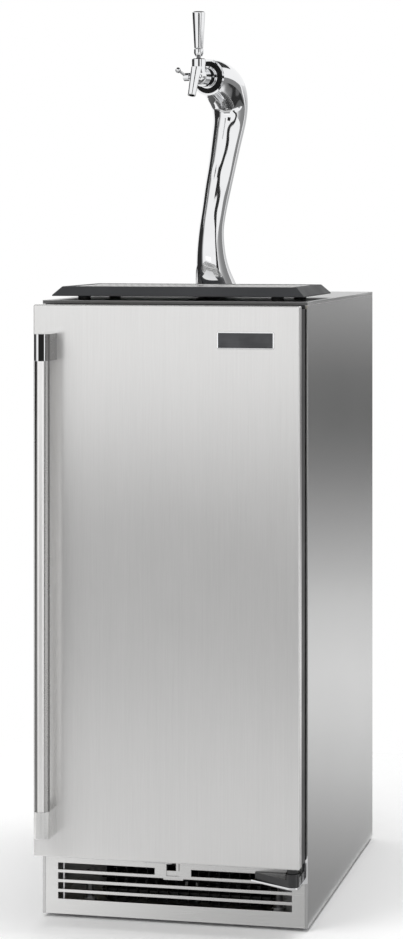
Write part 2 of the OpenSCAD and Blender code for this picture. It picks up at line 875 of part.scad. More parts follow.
module lower_hinge_arm() {
    knuckle_r = knuckle_d / 2;
    tab_w = 8;
    tab_t = 1.4;
    tab_h = door_low + 8 - hinge_low;
    color("silver") difference() {
        union() {
            at_hinge(hinge_low) {
                cylinder(r = knuckle_r, h = hinge_t);
                linear_extrude(hinge_t) polygon([
                    [knuckle_r, 0], [knuckle_r, pivot_reach],
                    [knuckle_r - hinge_plate_l, pivot_reach],
                    [knuckle_r - hinge_plate_l, pivot_reach - 4],
                    [-knuckle_r * 0.6, -knuckle_r * 0.8]
                ]);
            }
            at_hinge(hinge_low) translate([half_w - pivot_x - edge_w - tab_w / 2, pivot_reach - tab_t, 0])
                cube([tab_w, tab_t, tab_h]);
        }
        at_hinge(hinge_low - 1) cylinder(d = pin_d + 2 * run_fit, h = hinge_t + 2);
    }
}

module lower_hinge_cover() {
    knuckle_r = knuckle_d / 2 - 0.5;
    wedge_h = knuckle_h * 0.55;
    color([0.08, 0.08, 0.08]) at_hinge(knuckle_low) difference() {
        union() {
            cylinder(r = knuckle_r, h = knuckle_h);
            linear_extrude(wedge_h) polygon([
                [knuckle_r * 0.8, 0], [knuckle_r * 0.8, pivot_reach - 2],
                [knuckle_r - hinge_plate_l + 6, pivot_reach - 2],
                [-knuckle_r * 0.6, -knuckle_r * 0.8]
            ]);
        }
        translate([0, 0, -1]) cylinder(d = pin_d + 2 * run_fit, h = knuckle_h + 2);
    }
}

// The pins: the lower one stands up into the door, the upper one hangs down into it
module hinge_pins() {
    color("silver") {
        at_hinge(hinge_low) cylinder(d = pin_d, h = tray_low + pin_l - hinge_low);
        at_hinge(tray_high - pin_l) cylinder(d = pin_d, h = upper_plate_z + hinge_t - tray_high + pin_l);
    }
}

module hinge_bushes() {
    bush_l = pin_l + 2;
    color("ivory") {
        difference() {
            union() {
                at_hinge(tray_low) cylinder(d = bush_d, h = bush_l);
                at_hinge(knuckle_high + loose_fit)
                    cylinder(d = bush_flange_d, h = tray_low - knuckle_high - loose_fit);
            }
            at_hinge(knuckle_high - 1)
                cylinder(d = pin_d + 2 * run_fit, h = tray_low - knuckle_high + pin_l + 1.5);
        }
        difference() {
            at_hinge(tray_high - bush_l) cylinder(d = bush_d, h = bush_l);
            at_hinge(tray_high - pin_l - 0.5) cylinder(d = pin_d + 2 * run_fit, h = pin_l + 2);
        }
    }
}

// The holes for the bushes and the lock, cut in the door's tray and foam
module door_holes() {
    bush_l = pin_l + 2;
    at_hinge(tray_low - 1) cylinder(d = bush_d, h = bush_l + 1);
    at_hinge(tray_high - bush_l) cylinder(d = bush_d, h = bush_l + 1);
    in_shell() translate([lock_x, lock_y, tray_low - 1]) cylinder(d = lock_barrel_d, h = lock_barrel_l + 1);
}

module door_skin() {
    color("silver") in_shell() difference() {
        slab(door_w, -door_reach, tray_front, door_low, door_high);
        slab(
            door_w - 2 * sheet_t, sheet_t - door_reach, tray_front + 1,
            door_low + sheet_t, door_high - sheet_t
        );
    }
}

module door_tray() {
    color([0.12, 0.12, 0.12]) difference() {
        in_shell() difference() {
            slab(2 * tray_half_w, tray_front, -door_back_gap, tray_low, tray_high);
            slab(
                2 * (tray_half_w - door_wall), tray_front - 1, -door_back_gap - door_wall,
                tray_low + door_wall, tray_high - door_wall
            );
        }
        door_holes();
    }
}

module door_foam() {
    color("khaki") difference() {
        in_shell() {
            slab(
                door_w - 2 * sheet_t, sheet_t - door_reach, tray_front,
                door_low + sheet_t, door_high - sheet_t
            );
            slab(
                2 * (tray_half_w - door_wall), tray_front, -door_back_gap - door_wall,
                tray_low + door_wall, tray_high - door_wall
            );
        }
        door_holes();
    }
}

module door_seal() {
    seal_half_w = door_w / 2 - seal_inset;
    seal_low = tray_low + seal_inset;
    seal_high = tray_high - seal_inset;
    color("black") in_shell() difference() {
        slab(2 * seal_half_w, -door_back_gap, -loose_fit, seal_low, seal_high);
        slab(2 * (seal_half_w - seal_w), -door_back_gap - 1, 1, seal_low + seal_w, seal_high - seal_w);
    }
}

module badge_plate() {
    field_t = badge_t * 0.7;
    color("black") in_shell() translate([badge_x, -door_reach, door_high - badge_drop]) difference() {
        slab(badge_w, -badge_t, 0, -badge_h / 2, badge_h / 2);
        slab(
            badge_w - 2 * badge_frame, -badge_t - 1, -field_t,
            badge_frame - badge_h / 2, badge_h / 2 - badge_frame
        );
    }
}

module handle_bar() {
    low = lower_bracket_z + bracket_cap;
    high = upper_bracket_z + bracket_h - bracket_cap;
    color("lightgray") in_shell() translate([-bar_x, bar_y, low]) cylinder(d = bar_d, h = high - low);
}

// A bracket with a round nose over the bar, its closed end at z = 0
module handle_bracket() {
    difference() {
        union() {
            cylinder(d = bracket_w, h = bracket_h);
            slab(bracket_w, 0, bar_reach, 0, bracket_h);
        }
        translate([0, 0, bracket_cap]) cylinder(d = bar_d + 2 * run_fit, h = bracket_h);
    }
}

module lower_handle_bracket() {
    color("silver") in_shell() translate([-bar_x, bar_y, lower_bracket_z]) handle_bracket();
}

module upper_handle_bracket() {
    color("silver") in_shell() translate([-bar_x, bar_y, upper_bracket_z + bracket_h])
        mirror([0, 0, 1]) handle_bracket();
}

module lock_barrel() {
    color("lightgray") in_shell() translate([lock_x, lock_y, 0]) {
        translate([0, 0, tray_low]) cylinder(d = lock_barrel_d, h = lock_barrel_l);
        translate([0, 0, cam_z + cam_t + loose_fit])
            cylinder(d = lock_barrel_d - 4, h = tray_low - cam_z - cam_t - loose_fit);
        translate([0, 0, cam_z]) cylinder(d = lock_spindle_d, h = tray_low - cam_z);
    }
}

module lock_cam() {
    color("gray") in_shell() translate([lock_x, lock_y, cam_z]) difference() {
        union() {
            linear_extrude(cam_t) polygon([
                [-cam_reach, -cam_half_w], [0, -cam_half_w], [0, cam_half_w],
                [cam_tip_w - cam_reach, cam_half_w], [cam_tip_w - cam_reach, cam_hook],
                [-cam_reach, cam_hook]
            ]);
            cylinder(d = lock_spindle_d + 6, h = cam_t);
        }
        translate([0, 0, -1]) cylinder(d = lock_spindle_d + 2 * run_fit, h = cam_t + 2);
    }
}

// Puts children at the front edge of the tray's underside, with y to the rear
module at_tray() {
    in_shell() translate([0, tray_y, shell_h + tray_foot_h]) children();
}

grate_drop = 0.5;
grate_low = tray_h - grate_drop - grate_t;
tray_w = shell_w - 2 * tray_side_gap;
pocket_w = tray_w - 2 * (tray_slope + tray_rim);
pocket_y0 = tray_slope + tray_rim;
pocket_y1 = tray_d - tray_slope - tray_rim;
pan_lap = grate_ledge - 1;

// A slab inside the tray's pocket, with a margin on all sides
module in_pocket(margin, z0, z1) {
    slab(pocket_w - 2 * margin, pocket_y0 + margin, pocket_y1 - margin, z0, z1);
}

module drip_tray() {
    top_edge = 0.1;
    color([0.25, 0.25, 0.25]) at_tray() difference() {
        hull() {
            slab(tray_w, 0, tray_d, 0, tray_lip);
            slab(tray_w - 2 * tray_slope, tray_slope, tray_d - tray_slope, tray_h - top_edge, tray_h);
        }
        slab(pocket_w, pocket_y0, pocket_y1, grate_low, tray_h + 1);
        in_pocket(grate_ledge, -1, tray_h + 1);
        in_pocket(grate_ledge - pan_lap, -1, tray_floor);
    }
}

// The flat pan let into the underside of the tray's rim
module tray_pan() {
    color([0.2, 0.2, 0.2]) at_tray() in_pocket(grate_ledge - pan_lap, 0, tray_floor);
}

module tray_feet() {
    foot_x = tray_w / 2 - tray_foot_inset;
    color("black") at_tray()
        for (x = [-foot_x, foot_x], y = [tray_foot_inset_y, tray_d - tray_foot_inset_y])
            translate([x, y, -tray_foot_h]) cylinder(d = tray_foot_d, h = tray_foot_h);
}

module drip_grate() {
    plate_w = pocket_w - 2 * loose_fit;
    plate_y0 = pocket_y0 + loose_fit;
    plate_y1 = pocket_y1 - loose_fit;
    margin = grate_ledge + 4;
    bridge = 12;
    middle = (plate_y0 + plate_y1) / 2;
    slots = floor((plate_w - 2 * margin) / grate_pitch / 2);
    color([0.3, 0.3, 0.3]) at_tray() difference() {
        slab(plate_w, plate_y0, plate_y1, grate_low, grate_low + grate_t);
        for (i = [-slots : slots]) translate([i * grate_pitch, 0, 0]) {
            slab(grate_slot_w, plate_y0 + margin, middle - bridge / 2, grate_low - 1, tray_h + 1);
            slab(grate_slot_w, middle + bridge / 2, plate_y1 - margin, grate_low - 1, tray_h + 1);
        }
    }
}

// A smooth line through a list of stations, with a number of steps between each two
function blend(a, b, c, d, t) =
    0.5 * (2 * b + (c - a) * t + (2 * a - 5 * b + 4 * c - d) * t * t + (3 * b - a - 3 * c + d) * t * t * t);
function smooth_line(p, steps) = [
    for (i = [0 : len(p) - 2]) for (k = [0 : steps - 1])
        blend(p[max(i - 1, 0)], p[i], p[i + 1], p[min(i + 2, len(p) - 1)], k / steps),
    p[len(p) - 1]
];

// The line's heading at a station: upright at its foot, level at its end
function heading(line, i) =
    i == 0 ? [0, 1] :
    i == len(line) - 1 ? [1, 0] :
    let (run = [line[i + 1][0] - line[i - 1][0], line[i + 1][1] - line[i - 1][1]]) run / norm(run);

// The points of all rings along a line, each ring square to the line
function ring_points(line, sides, shrink) = [
    for (i = [0 : len(line) - 1])
        let (r = line[i][2] / 2 - shrink, h = heading(line, i))
        for (s = [0 : sides - 1])
            let (side = r * cos(360 * s / sides), lift = r * sin(360 * s / sides))
            [side, -(line[i][0] + lift * h[1]), line[i][1] - lift * h[0]]
];

// Two triangles for each patch between two rings
function wall_faces(rings, sides, first) = [
    for (k = [0 : rings - 2], s = [0 : sides - 1])
        let (a = first + k * sides + s, b = first + k * sides + (s + 1) % sides)
        each [[a, a + sides, b + sides], [a, b + sides, b]]
];
function flipped(faces) = [for (f = faces) [f[2], f[1], f[0]]];

// Two triangles for each patch of the flat ring that closes a hollow end
function rim_faces(sides, outer, inner) = [
    for (s = [0 : sides - 1])
        let (a = outer + s, b = outer + (s + 1) % sides, c = inner + s, d = inner + (s + 1) % sides)
        each [[a, b, d], [a, d, c]]
];
function disc_faces(sides, first) = [for (s = [1 : sides - 2]) [first, first + s, first + s + 1]];

module hollow_sweep(line, sides, wall) {
    rings = len(line);
    count = rings * sides;
    polyhedron(
        points = concat(ring_points(line, sides, 0), ring_points(line, sides, wall)),
        faces = concat(
            wall_faces(rings, sides, 0), flipped(wall_faces(rings, sides, count)),
            rim_faces(sides, 0, count), flipped(rim_faces(sides, count - sides, 2 * count - sides))
        )
    );
}

module solid_sweep(line, sides) {
    rings = len(line);
    polyhedron(
        points = ring_points(line, sides, 0),
        faces = concat(
            wall_faces(rings, sides, 0), disc_faces(sides, 0),
            flipped(disc_faces(sides, (rings - 1) * sides))
        )
    );
}

module tower_base_seal() {
    color("black") at_tower() tube(base_seal_d, roof_bush_d + 2 * loose_fit, base_seal_t);
}

module tower_column() {
    color("lightgray") at_tower() hollow_sweep(smooth_line(stations, station_steps), tower_sides, tower_wall);
}

module beer_line() {
    path = concat(
        [[0, roof_bush_up, line_d]],
        [for (i = [1 : len(stations) - 4]) [stations[i][0], stations[i][1], line_d]],
        [[shank_tail - line_d, tap_up, line_d], [shank_tail, tap_up, line_d]]
    );
    color("honeydew") at_tower() solid_sweep(smooth_line(path, 2), line_sides);
}

module roof_bushing() {
    through = shell_h - cavity_top;
    color("white") at_tower() translate([0, 0, -through - roof_bush_drop]) difference() {
        union() {
            cylinder(d = roof_bush_d, h = through + roof_bush_drop + roof_bush_up);
            translate([0, 0, roof_bush_drop - roof_flange_t]) cylinder(d = roof_flange_d, h = roof_flange_t);
        }
        translate([0, 0, -1]) cylinder(d = line_d - 2, h = through + roof_bush_drop + roof_bush_up + 2);
    }
}

module head_cap() {
    cap_t = 4;
    color([0.1, 0.1, 0.1]) at_tower() along_shank(face_u - cap_t)
        tube(face_bore_d - 1, shank_d + 2 * run_fit, cap_t);
}

module faucet_shank() {
    bore = line_d - 2;
    color("lightgray") at_tower() difference() {
        union() {
            along_shank(shank_tail) cylinder(d = shank_d, h = seat_u - shank_tail);
            along_shank(face_u) cylinder(d = collar_d, h = collar_t);
        }
        along_shank(shank_tail - 1) cylinder(d = bore, h = seat_u - shank_tail + 2);
    }
}

module coupling_nut() {
    spanner_holes = 6;
    hole_d = 4;
    hole_depth = 2;
    color("lightgray") at_tower() difference() {
        along_shank(nut_u) cylinder(d = nut_d, h = nut_l);
        along_shank(nut_u - 1) cylinder(d = shank_d + 2 * run_fit, h = nut_l + 2);
        along_shank(seat_u) cylinder(d = barrel_d + 2 * run_fit, h = nut_l + 1);
        for (i = [0 : spanner_holes - 1])
            along_shank(nut_u + nut_l / 2) rotate([0, 90, i * 360 / spanner_holes])
                translate([0, 0, nut_d / 2 - hole_depth]) cylinder(d = hole_d, h = hole_depth + 1);
    }
}

// Puts children on the lever's axis, a height above the shank's axis
module at_lever(up) {
    translate([0, -lever_u, tap_up + up]) children();
}

// Puts children at the spout's root, with +Z out of its mouth
module at_spout() {
    at_lever(bonnet_low) translate([0, -spout_ahead, 0]) rotate([180 - spout_lean, 0, 0]) children();
}

module faucet_body() {
    nose = barrel_d / 2;
    boss_d = bonnet_d - 0.6;
    solid_share = 0.26;
    pocket_low = ball_up - ball_d / 2 - 1;
    slot_w = tail_d + 0.8;
    slot_back = (ball_up + 2) * tan(lever_swing) + tail_d;
    slot_h = nose - 2.5;
    color("lightgray") at_tower() difference() {
        union() {
            along_shank(seat_u) cylinder(d = barrel_d, h = lever_u - seat_u);
            along_shank(lever_u) sphere(d = barrel_d);
            at_lever(0) cylinder(d = boss_d, h = bonnet_low);
            at_spout() cylinder(d1 = spout_root_d, d2 = spout_mouth_d, h = spout_l);
        }
        along_shank(seat_u - 1)
            cylinder(d = valve_bore_d + 2 * run_fit, h = lever_u + valve_front + 2 - seat_u);
        at_lever(pocket_low) cylinder(d = ball_d + 2 * run_fit, h = bonnet_low);
        at_lever(bonnet_low) cylinder(d = 2 * bonnet_d, h = bonnet_h);
        translate([-slot_w / 2, -lever_u - tail_d, tap_up]) cube([slot_w, slot_back + tail_d, slot_h]);
        translate([-slot_w / 2, -lever_u - tail_d, tap_up])
            cube([slot_w, tail_d + ball_d / 2, pocket_low + 1]);
        at_spout() translate([0, 0, spout_l * solid_share]) cylinder(d = spout_bore, h = spout_l);
        translate([-barrel_d, -flow_u, tap_up]) rotate([0, 90, 0])
            cylinder(d = flow_shaft_d + 2 * run_fit, h = barrel_d - valve_bore_d / 2 - 1);
    }
}

module faucet_bonnet() {
    chamfer = 1;
    ring_r = bonnet_d / 2;
    bore_r = ball_d / 2 + run_fit;
    color("lightgray") at_tower() at_lever(bonnet_low) difference() {
        rotate_extrude() polygon([
            [bore_r, 0], [ring_r, 0], [ring_r, bonnet_h - chamfer],
            [ring_r - chamfer, bonnet_h], [bore_r, bonnet_h]
        ]);
        translate([0, 0, ball_up - bonnet_low]) rotate([0, 90, 0])
            cylinder(d = lever_pin_d + 2 * run_fit, h = ball_d + 2 * (lever_pin_reach + loose_fit), center = true);
    }
}

module lever_ball() {
    color("gray") at_tower() at_lever(ball_up) {
        sphere(d = ball_d);
        rotate([0, 90, 0]) cylinder(d = lever_pin_d, h = ball_d + 2 * lever_pin_reach, center = true);
        cylinder(d = stem_d, h = handle_up + stem_grip - ball_up);
        translate([0, 0, -ball_up - tail_below]) cylinder(d = tail_d, h = ball_up + tail_below);
    }
}

module lever_ferrule() {
    neck_r = 5;
    body_r = handle_low_d / 2 + 0.4;
    bore_r = stem_d / 2 + run_fit;
    slope_h = 4;
    groove = 0.8;
    color("silver") at_tower() at_lever(ferrule_up) rotate_extrude() polygon([
        [bore_r, 0], [neck_r, 0], [body_r, slope_h], [body_r, ferrule_h - 2 * groove],
        [body_r - groove, ferrule_h - groove], [body_r - groove, ferrule_h], [bore_r, ferrule_h]
    ]);
}

module lever_handle() {
    low_r = handle_low_d / 2;
    top_r = handle_top_d / 2;
    chamfer = 1.5;
    bore_r = stem_d / 2 + run_fit;
    color("lightgray") at_tower() at_lever(handle_up) rotate_extrude() polygon([
        [bore_r, 0], [low_r, 0], [top_r, handle_l - chamfer], [top_r - chamfer, handle_l],
        [0, handle_l], [0, stem_grip + run_fit], [bore_r, stem_grip + run_fit]
    ]);
}

module valve_shaft() {
    slot_l = 9;
    slot_w = tail_d + 0.8;
    color("gray") at_tower() difference() {
        along_shank(lever_u + valve_front - valve_l) cylinder(d = valve_bore_d, h = valve_l);
        at_lever(-valve_bore_d) translate([-slot_w / 2, -slot_l / 2, 0])
            cube([slot_w, slot_l, 2 * valve_bore_d]);
    }
}

module flow_lever() {
    hub_x = barrel_d / 2 + flow_neck;
    shaft_in = valve_bore_d / 2 + 1.5;
    color("lightgray") at_tower() translate([0, -flow_u, tap_up]) {
        rotate([0, -90, 0]) translate([0, 0, shaft_in]) cylinder(d = flow_shaft_d, h = hub_x + 1 - shaft_in);
        rotate([0, -90, 0]) translate([0, 0, hub_x]) cylinder(d = flow_hub_d, h = flow_hub_l);
        translate([-hub_x - flow_hub_l / 2, 0, 0]) rotate([90 - flow_pitch, 0, 0]) rotate([0, -flow_splay, 0]) {
            cylinder(d = flow_arm_d, h = flow_arm_l);
            translate([0, 0, flow_arm_l]) sphere(d = flow_knob_d);
        }
    }
}

left_side_panel();
right_side_panel();
top_panel();
rear_panel();
base_pan();
inner_liner();
foam_insulation();
mouth_frame();
toe_grille();
lock_catch();
keg_floor();
compressor();
condenser_coil();
condenser_shroud();
evaporator_coil();
evaporator_cover();
thermostat_housing();
interior_lamp();
upper_hinge_plate();
lower_hinge_arm();
lower_hinge_cover();
hinge_pins();
tower_base_seal();
tower_column();
head_cap();
faucet_shank();
coupling_nut();
faucet_body();
faucet_bonnet();
beer_line();
roof_bushing();
gas_inlet();
power_gland();
door_skin();
door_tray();
door_foam();
door_seal();
badge_plate();
handle_bar();
upper_handle_bracket();
lower_handle_bracket();
hinge_bushes();
lock_barrel();
lock_cam();
lever_ball();
lever_ferrule();
lever_handle();
valve_shaft();
flow_lever();
thermostat_dial();
condenser_fan();
evaporator_fan();
drip_tray();
tray_pan();
tray_feet();
drip_grate();
front_left_leg();
front_right_leg();
rear_left_leg();
rear_right_leg();
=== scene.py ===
"""Looks of a draft beer dispenser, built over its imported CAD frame."""

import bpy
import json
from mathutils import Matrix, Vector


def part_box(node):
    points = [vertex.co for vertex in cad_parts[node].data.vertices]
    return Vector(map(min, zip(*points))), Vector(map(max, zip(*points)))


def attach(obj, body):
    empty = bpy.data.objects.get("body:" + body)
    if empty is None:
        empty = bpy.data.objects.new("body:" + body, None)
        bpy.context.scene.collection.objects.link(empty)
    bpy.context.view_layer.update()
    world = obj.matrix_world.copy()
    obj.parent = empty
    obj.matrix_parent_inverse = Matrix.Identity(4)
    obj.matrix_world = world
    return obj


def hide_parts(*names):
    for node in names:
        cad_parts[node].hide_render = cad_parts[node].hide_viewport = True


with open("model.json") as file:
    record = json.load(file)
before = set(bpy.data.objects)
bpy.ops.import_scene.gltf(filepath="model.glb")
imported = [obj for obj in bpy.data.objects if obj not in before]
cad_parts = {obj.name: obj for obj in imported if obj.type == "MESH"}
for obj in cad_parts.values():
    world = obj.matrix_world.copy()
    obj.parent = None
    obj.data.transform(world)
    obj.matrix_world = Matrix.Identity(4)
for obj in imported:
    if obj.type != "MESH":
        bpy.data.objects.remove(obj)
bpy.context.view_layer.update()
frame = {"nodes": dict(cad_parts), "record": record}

import json
from math import atan2, cos, degrees, pi, radians, sin

import bmesh
import bpy
from mathutils import Matrix, Vector

bl_info = {
    "name": "Draft beer dispenser",
    "version": (1, 0, 0),
    "blender": (4, 5, 0),
    "location": "View3D > Sidebar > Dispenser",
    "description": "Builds the dispenser's pieces, finishes and studio over its CAD frame",
    "category": "Object",
}

MM = 0.001


class Wire:
    """A node's output that takes part in Python arithmetic."""

    def __init__(self, sheet, socket):
        self.sheet = sheet
        self.socket = socket

    def _math(self, operation, a, b):
        return self.sheet.node("ShaderNodeMath", {"operation": operation}, {0: a, 1: b})

    def __add__(self, other):
        return self._math("ADD", self, other)

    def __radd__(self, other):
        return self._math("ADD", other, self)

    def __sub__(self, other):
        return self._math("SUBTRACT", self, other)

    def __rsub__(self, other):
        return self._math("SUBTRACT", other, self)

    def __mul__(self, other):
        return self._math("MULTIPLY", self, other)

    def __rmul__(self, other):
        return self._math("MULTIPLY", other, self)


class NodeSheet:
    """A node tree under construction."""

    def __init__(self, tree):
        self.tree = tree

    def node(self, kind, settings=None, sockets=None, output=0):
        """Adds one node: its settings first, then the values or wires of its sockets."""
        made = self.tree.nodes.new(kind)
        for key, value in (settings or {}).items():
            setattr(made, key, value)
        for key, value in (sockets or {}).items():
            self.feed(made.inputs[key], value)
        return Wire(self, made.outputs[output]) if made.outputs else None

    def feed(self, socket, value):
        """Links a wire to a socket, or sets the socket's own value."""
        if isinstance(value, Wire):
            self.tree.links.new(value.socket, socket)
        else:
            socket.default_value = value


class Finish(NodeSheet):
    """A material under construction: its node tree and its surface shader."""

    def __init__(self, name):
        self.material = bpy.data.materials.new(name)
        self.material.use_nodes = True
        super().__init__(self.material.node_tree)
        self.shader = self.tree.nodes["Principled BSDF"]

    def surface(self, **sockets):
        """Feeds the surface shader; underscores in the names stand for spaces."""
        for key, value in sockets.items():
            self.feed(self.shader.inputs[key.replace("_", " ")], value)

    def place(self, scale=(1.0, 1.0, 1.0), shift=(0.0, 0.0, 0.0)):
        """The surface's own coordinates, stretched and shifted."""
        seat = self.node("ShaderNodeTexCoord", output="Object")
        return self.node(
            "ShaderNodeMapping",
            {"vector_type": "POINT"},
            {"Vector": seat, "Location": shift, "Scale": scale},
        )

    def cloud(self, scale, place, detail=3.0, roughness=0.55):
        """A soft noise from 0 to 1 along stretched coordinates."""
        return self.node(
            "ShaderNodeTexNoise",
            {"noise_dimensions": "3D"},
            {"Vector": place, "Scale": scale, "Detail": detail, "Roughness": roughness},
            "Fac",
        )

    def spread(self, wire, low, high):
        """A noise's middle range widened to run from 0 to 1."""
        return self.node(
            "ShaderNodeMapRange", {"clamp": True}, {"Value": wire, "From Min": low, "From Max": high}
        )

    def mix(self, share, a, b):
        """A colour between two colours."""
        return self.node(
            "ShaderNodeMix",
            {"data_type": "RGBA"},
            {"Factor": share, 6: tinted(a), 7: tinted(b)},
            2,
        )

    def relief(self, height, depth):
        """A bump of that depth in metres."""
        return self.node("ShaderNodeBump", None, {"Height": height, "Distance": depth, "Strength": 1.0})


def tinted(value):
    """A colour with its alpha, or a wire as it is."""
    return value if isinstance(value, Wire) else (*value[:3], 1.0)



GRAIN_AXES = {"X": (22.0, 2400.0, 2400.0), "Y": (2400.0, 22.0, 2400.0), "Z": (2400.0, 2400.0, 22.0)}


def brushed_steel(name, along, tone, rough, metal=1.0, depth=0.000008, contrast=0.07):
    """Stainless sheet with fine scratches along one axis and soft wiping marks."""
    f = Finish(name)
    fine = GRAIN_AXES[along]
    scratches = f.cloud(1.0, f.place(fine), 5.0, 0.62)
    bands = f.cloud(0.16, f.place(fine, shift=(3.1, 7.7, 1.9)), 4.0)
    wiping = f.cloud(4.5, f.place(), 4.0, 0.6)
    share = f.spread(scratches * 0.72 + bands * 0.28, 0.3, 0.7)
    low = tuple(c * (1.0 - contrast) for c in tone)
    high = tuple(min(1.0, c * (1.0 + contrast * 0.6)) for c in tone)
    f.surface(
        Base_Color=f.mix(share, low, high),
        Metallic=metal,
        Roughness=rough - 0.05 + 0.08 * scratches + 0.06 * wiping,
        Normal=f.relief(scratches, depth),
    )
    return f.material


def mirror_chrome(name, tone=(0.86, 0.865, 0.875), rough=0.035):
    """Bright plated metal with a faint waviness, fine polish lines and finger smudges."""
    f = Finish(name)
    smudge = f.spread(f.cloud(38.0, f.place(), 5.0, 0.6), 0.45, 0.75)
    polish = f.cloud(1.0, f.place((1400.0, 1400.0, 90.0)), 3.0)
    wave = f.cloud(22.0, f.place(), 1.0)
    f.surface(
        Base_Color=f.mix(smudge * 0.35, tone, tuple(c * 0.9 for c in tone)),
        Metallic=1.0,
        Roughness=rough + 0.05 * smudge + 0.012 * polish,
        Normal=f.relief(wave, 0.00002),
    )
    return f.material


def plated_zinc(name, tone, rough=0.36):
    """Plated steel with a crystalline spangle and dull spots."""
    f = Finish(name)
    spangle = f.node(
        "ShaderNodeTexVoronoi", {"feature": "F1"}, {"Vector": f.place(), "Scale": 210.0}, "Color"
    )
    share = f.node("ShaderNodeSeparateColor", None, {"Color": spangle}, "Red")
    dull = f.cloud(30.0, f.place(), 4.0)
    f.surface(
        Base_Color=f.mix(share, tuple(c * 0.82 for c in tone), tuple(min(1.0, c * 1.1) for c in tone)),
        Metallic=1.0,
        Roughness=rough - 0.06 + 0.12 * share + 0.1 * dull,
        Normal=f.relief(dull, 0.00003),
    )
    return f.material


def moulded(name, tone, rough, pore=900.0, depth=0.00004, metal=0.0, gleam=0.5):
    """Moulded or powder-coated surface with a fine leathery texture and rubbed patches."""
    f = Finish(name)
    pores = f.cloud(pore, f.place(), 2.0)
    rubbed = f.spread(f.cloud(16.0, f.place(), 5.0, 0.65), 0.4, 0.75)
    lighter = tuple(min(1.0, c * 1.22 + 0.004) for c in tone)
    f.surface(
        Base_Color=f.mix(rubbed * 0.6 + pores * 0.3, tone, lighter),
        Metallic=metal,
        Roughness=rough + 0.12 * pores - 0.1 * rubbed,
        Specular_IOR_Level=gleam,
        Normal=f.relief(pores, depth),
    )
    return f.material


def cast_rubber(name, tone=(0.018, 0.018, 0.018)):
    """Matt black rubber with dusty bloom and a grained skin."""
    f = Finish(name)
    bloom = f.spread(f.cloud(24.0, f.place(), 5.0, 0.62), 0.42, 0.78)
    grain = f.cloud(1500.0, f.place(), 2.0)
    f.surface(
        Base_Color=f.mix(bloom * 0.5, tone, tuple(c * 2.2 for c in tone)),
        Roughness=0.62 + 0.2 * grain - 0.1 * bloom,
        Specular_IOR_Level=0.35,
        Normal=f.relief(grain, 0.00005),
    )
    return f.material


def cut_foam(name):
    """Rigid foam with open cells and a darker skin in patches."""
    f = Finish(name)
    cells = f.node(
        "ShaderNodeTexVoronoi", {"feature": "F1"}, {"Vector": f.place(), "Scale": 420.0}, "Distance"
    )
    skin = f.spread(f.cloud(9.0, f.place(), 4.0), 0.35, 0.7)
    f.surface(
        Base_Color=f.mix(skin * 0.6 + cells * 0.4, (0.72, 0.6, 0.34), (0.56, 0.43, 0.2)),
        Roughness=0.85 - 0.1 * skin,
        Normal=f.relief(cells, 0.0006),
    )
    return f.material


def embossed_liner(name, tone=(0.72, 0.73, 0.74)):
    """Liner sheet with a stucco emboss and faint frost marks."""
    f = Finish(name)
    cells = f.node(
        "ShaderNodeTexVoronoi", {"feature": "SMOOTH_F1"}, {"Vector": f.place(), "Scale": 170.0}, "Distance"
    )
    frost = f.spread(f.cloud(7.0, f.place(), 5.0, 0.6), 0.4, 0.75)
    f.surface(
        Base_Color=f.mix(frost * 0.5, tone, tuple(c * 0.88 for c in tone)),
        Metallic=0.85,
        Roughness=0.34 + 0.1 * frost + 0.06 * cells,
        Normal=f.relief(cells, 0.0006),
    )
    return f.material


def machined_brass(name):
    """Turned brass with tool lines and a warm tarnish."""
    f = Finish(name)
    lines = f.cloud(1.0, f.place((1600.0, 200.0, 1600.0)), 3.0)
    tarnish = f.spread(f.cloud(45.0, f.place(), 4.0), 0.4, 0.75)
    f.surface(
        Base_Color=f.mix(tarnish, (0.78, 0.57, 0.24), (0.5, 0.34, 0.13)),
        Metallic=1.0,
        Roughness=0.2 + 0.12 * lines + 0.15 * tarnish,
        Normal=f.relief(lines, 0.00002),
    )
    return f.material


def milky(name, tone, clear, rough):
    """Translucent tube or lens with faint flow lines."""
    f = Finish(name)
    flow = f.cloud(1.0, f.place((300.0, 300.0, 30.0)), 3.0)
    f.surface(
        Base_Color=f.mix(flow, tone, tuple(c * 0.9 for c in tone)),
        Roughness=rough + 0.12 * flow,
        Transmission_Weight=clear,
        IOR=1.46,
    )
    return f.material


def badge_lacquer(name):
    """Dark lacquer over brushed metal."""
    f = Finish(name)
    brush = f.cloud(1.0, f.place((40.0, 900.0, 900.0)), 4.0)
    depth = f.spread(f.cloud(60.0, f.place(), 3.0), 0.35, 0.7)
    f.surface(
        Base_Color=f.mix(brush * 0.6 + depth * 0.3, (0.014, 0.015, 0.018), (0.05, 0.052, 0.058)),
        Metallic=0.35,
        Roughness=0.26 + 0.12 * brush,
        Coat_Weight=0.4 + 0.3 * depth,
        Normal=f.relief(brush, 0.00001),
    )
    return f.material


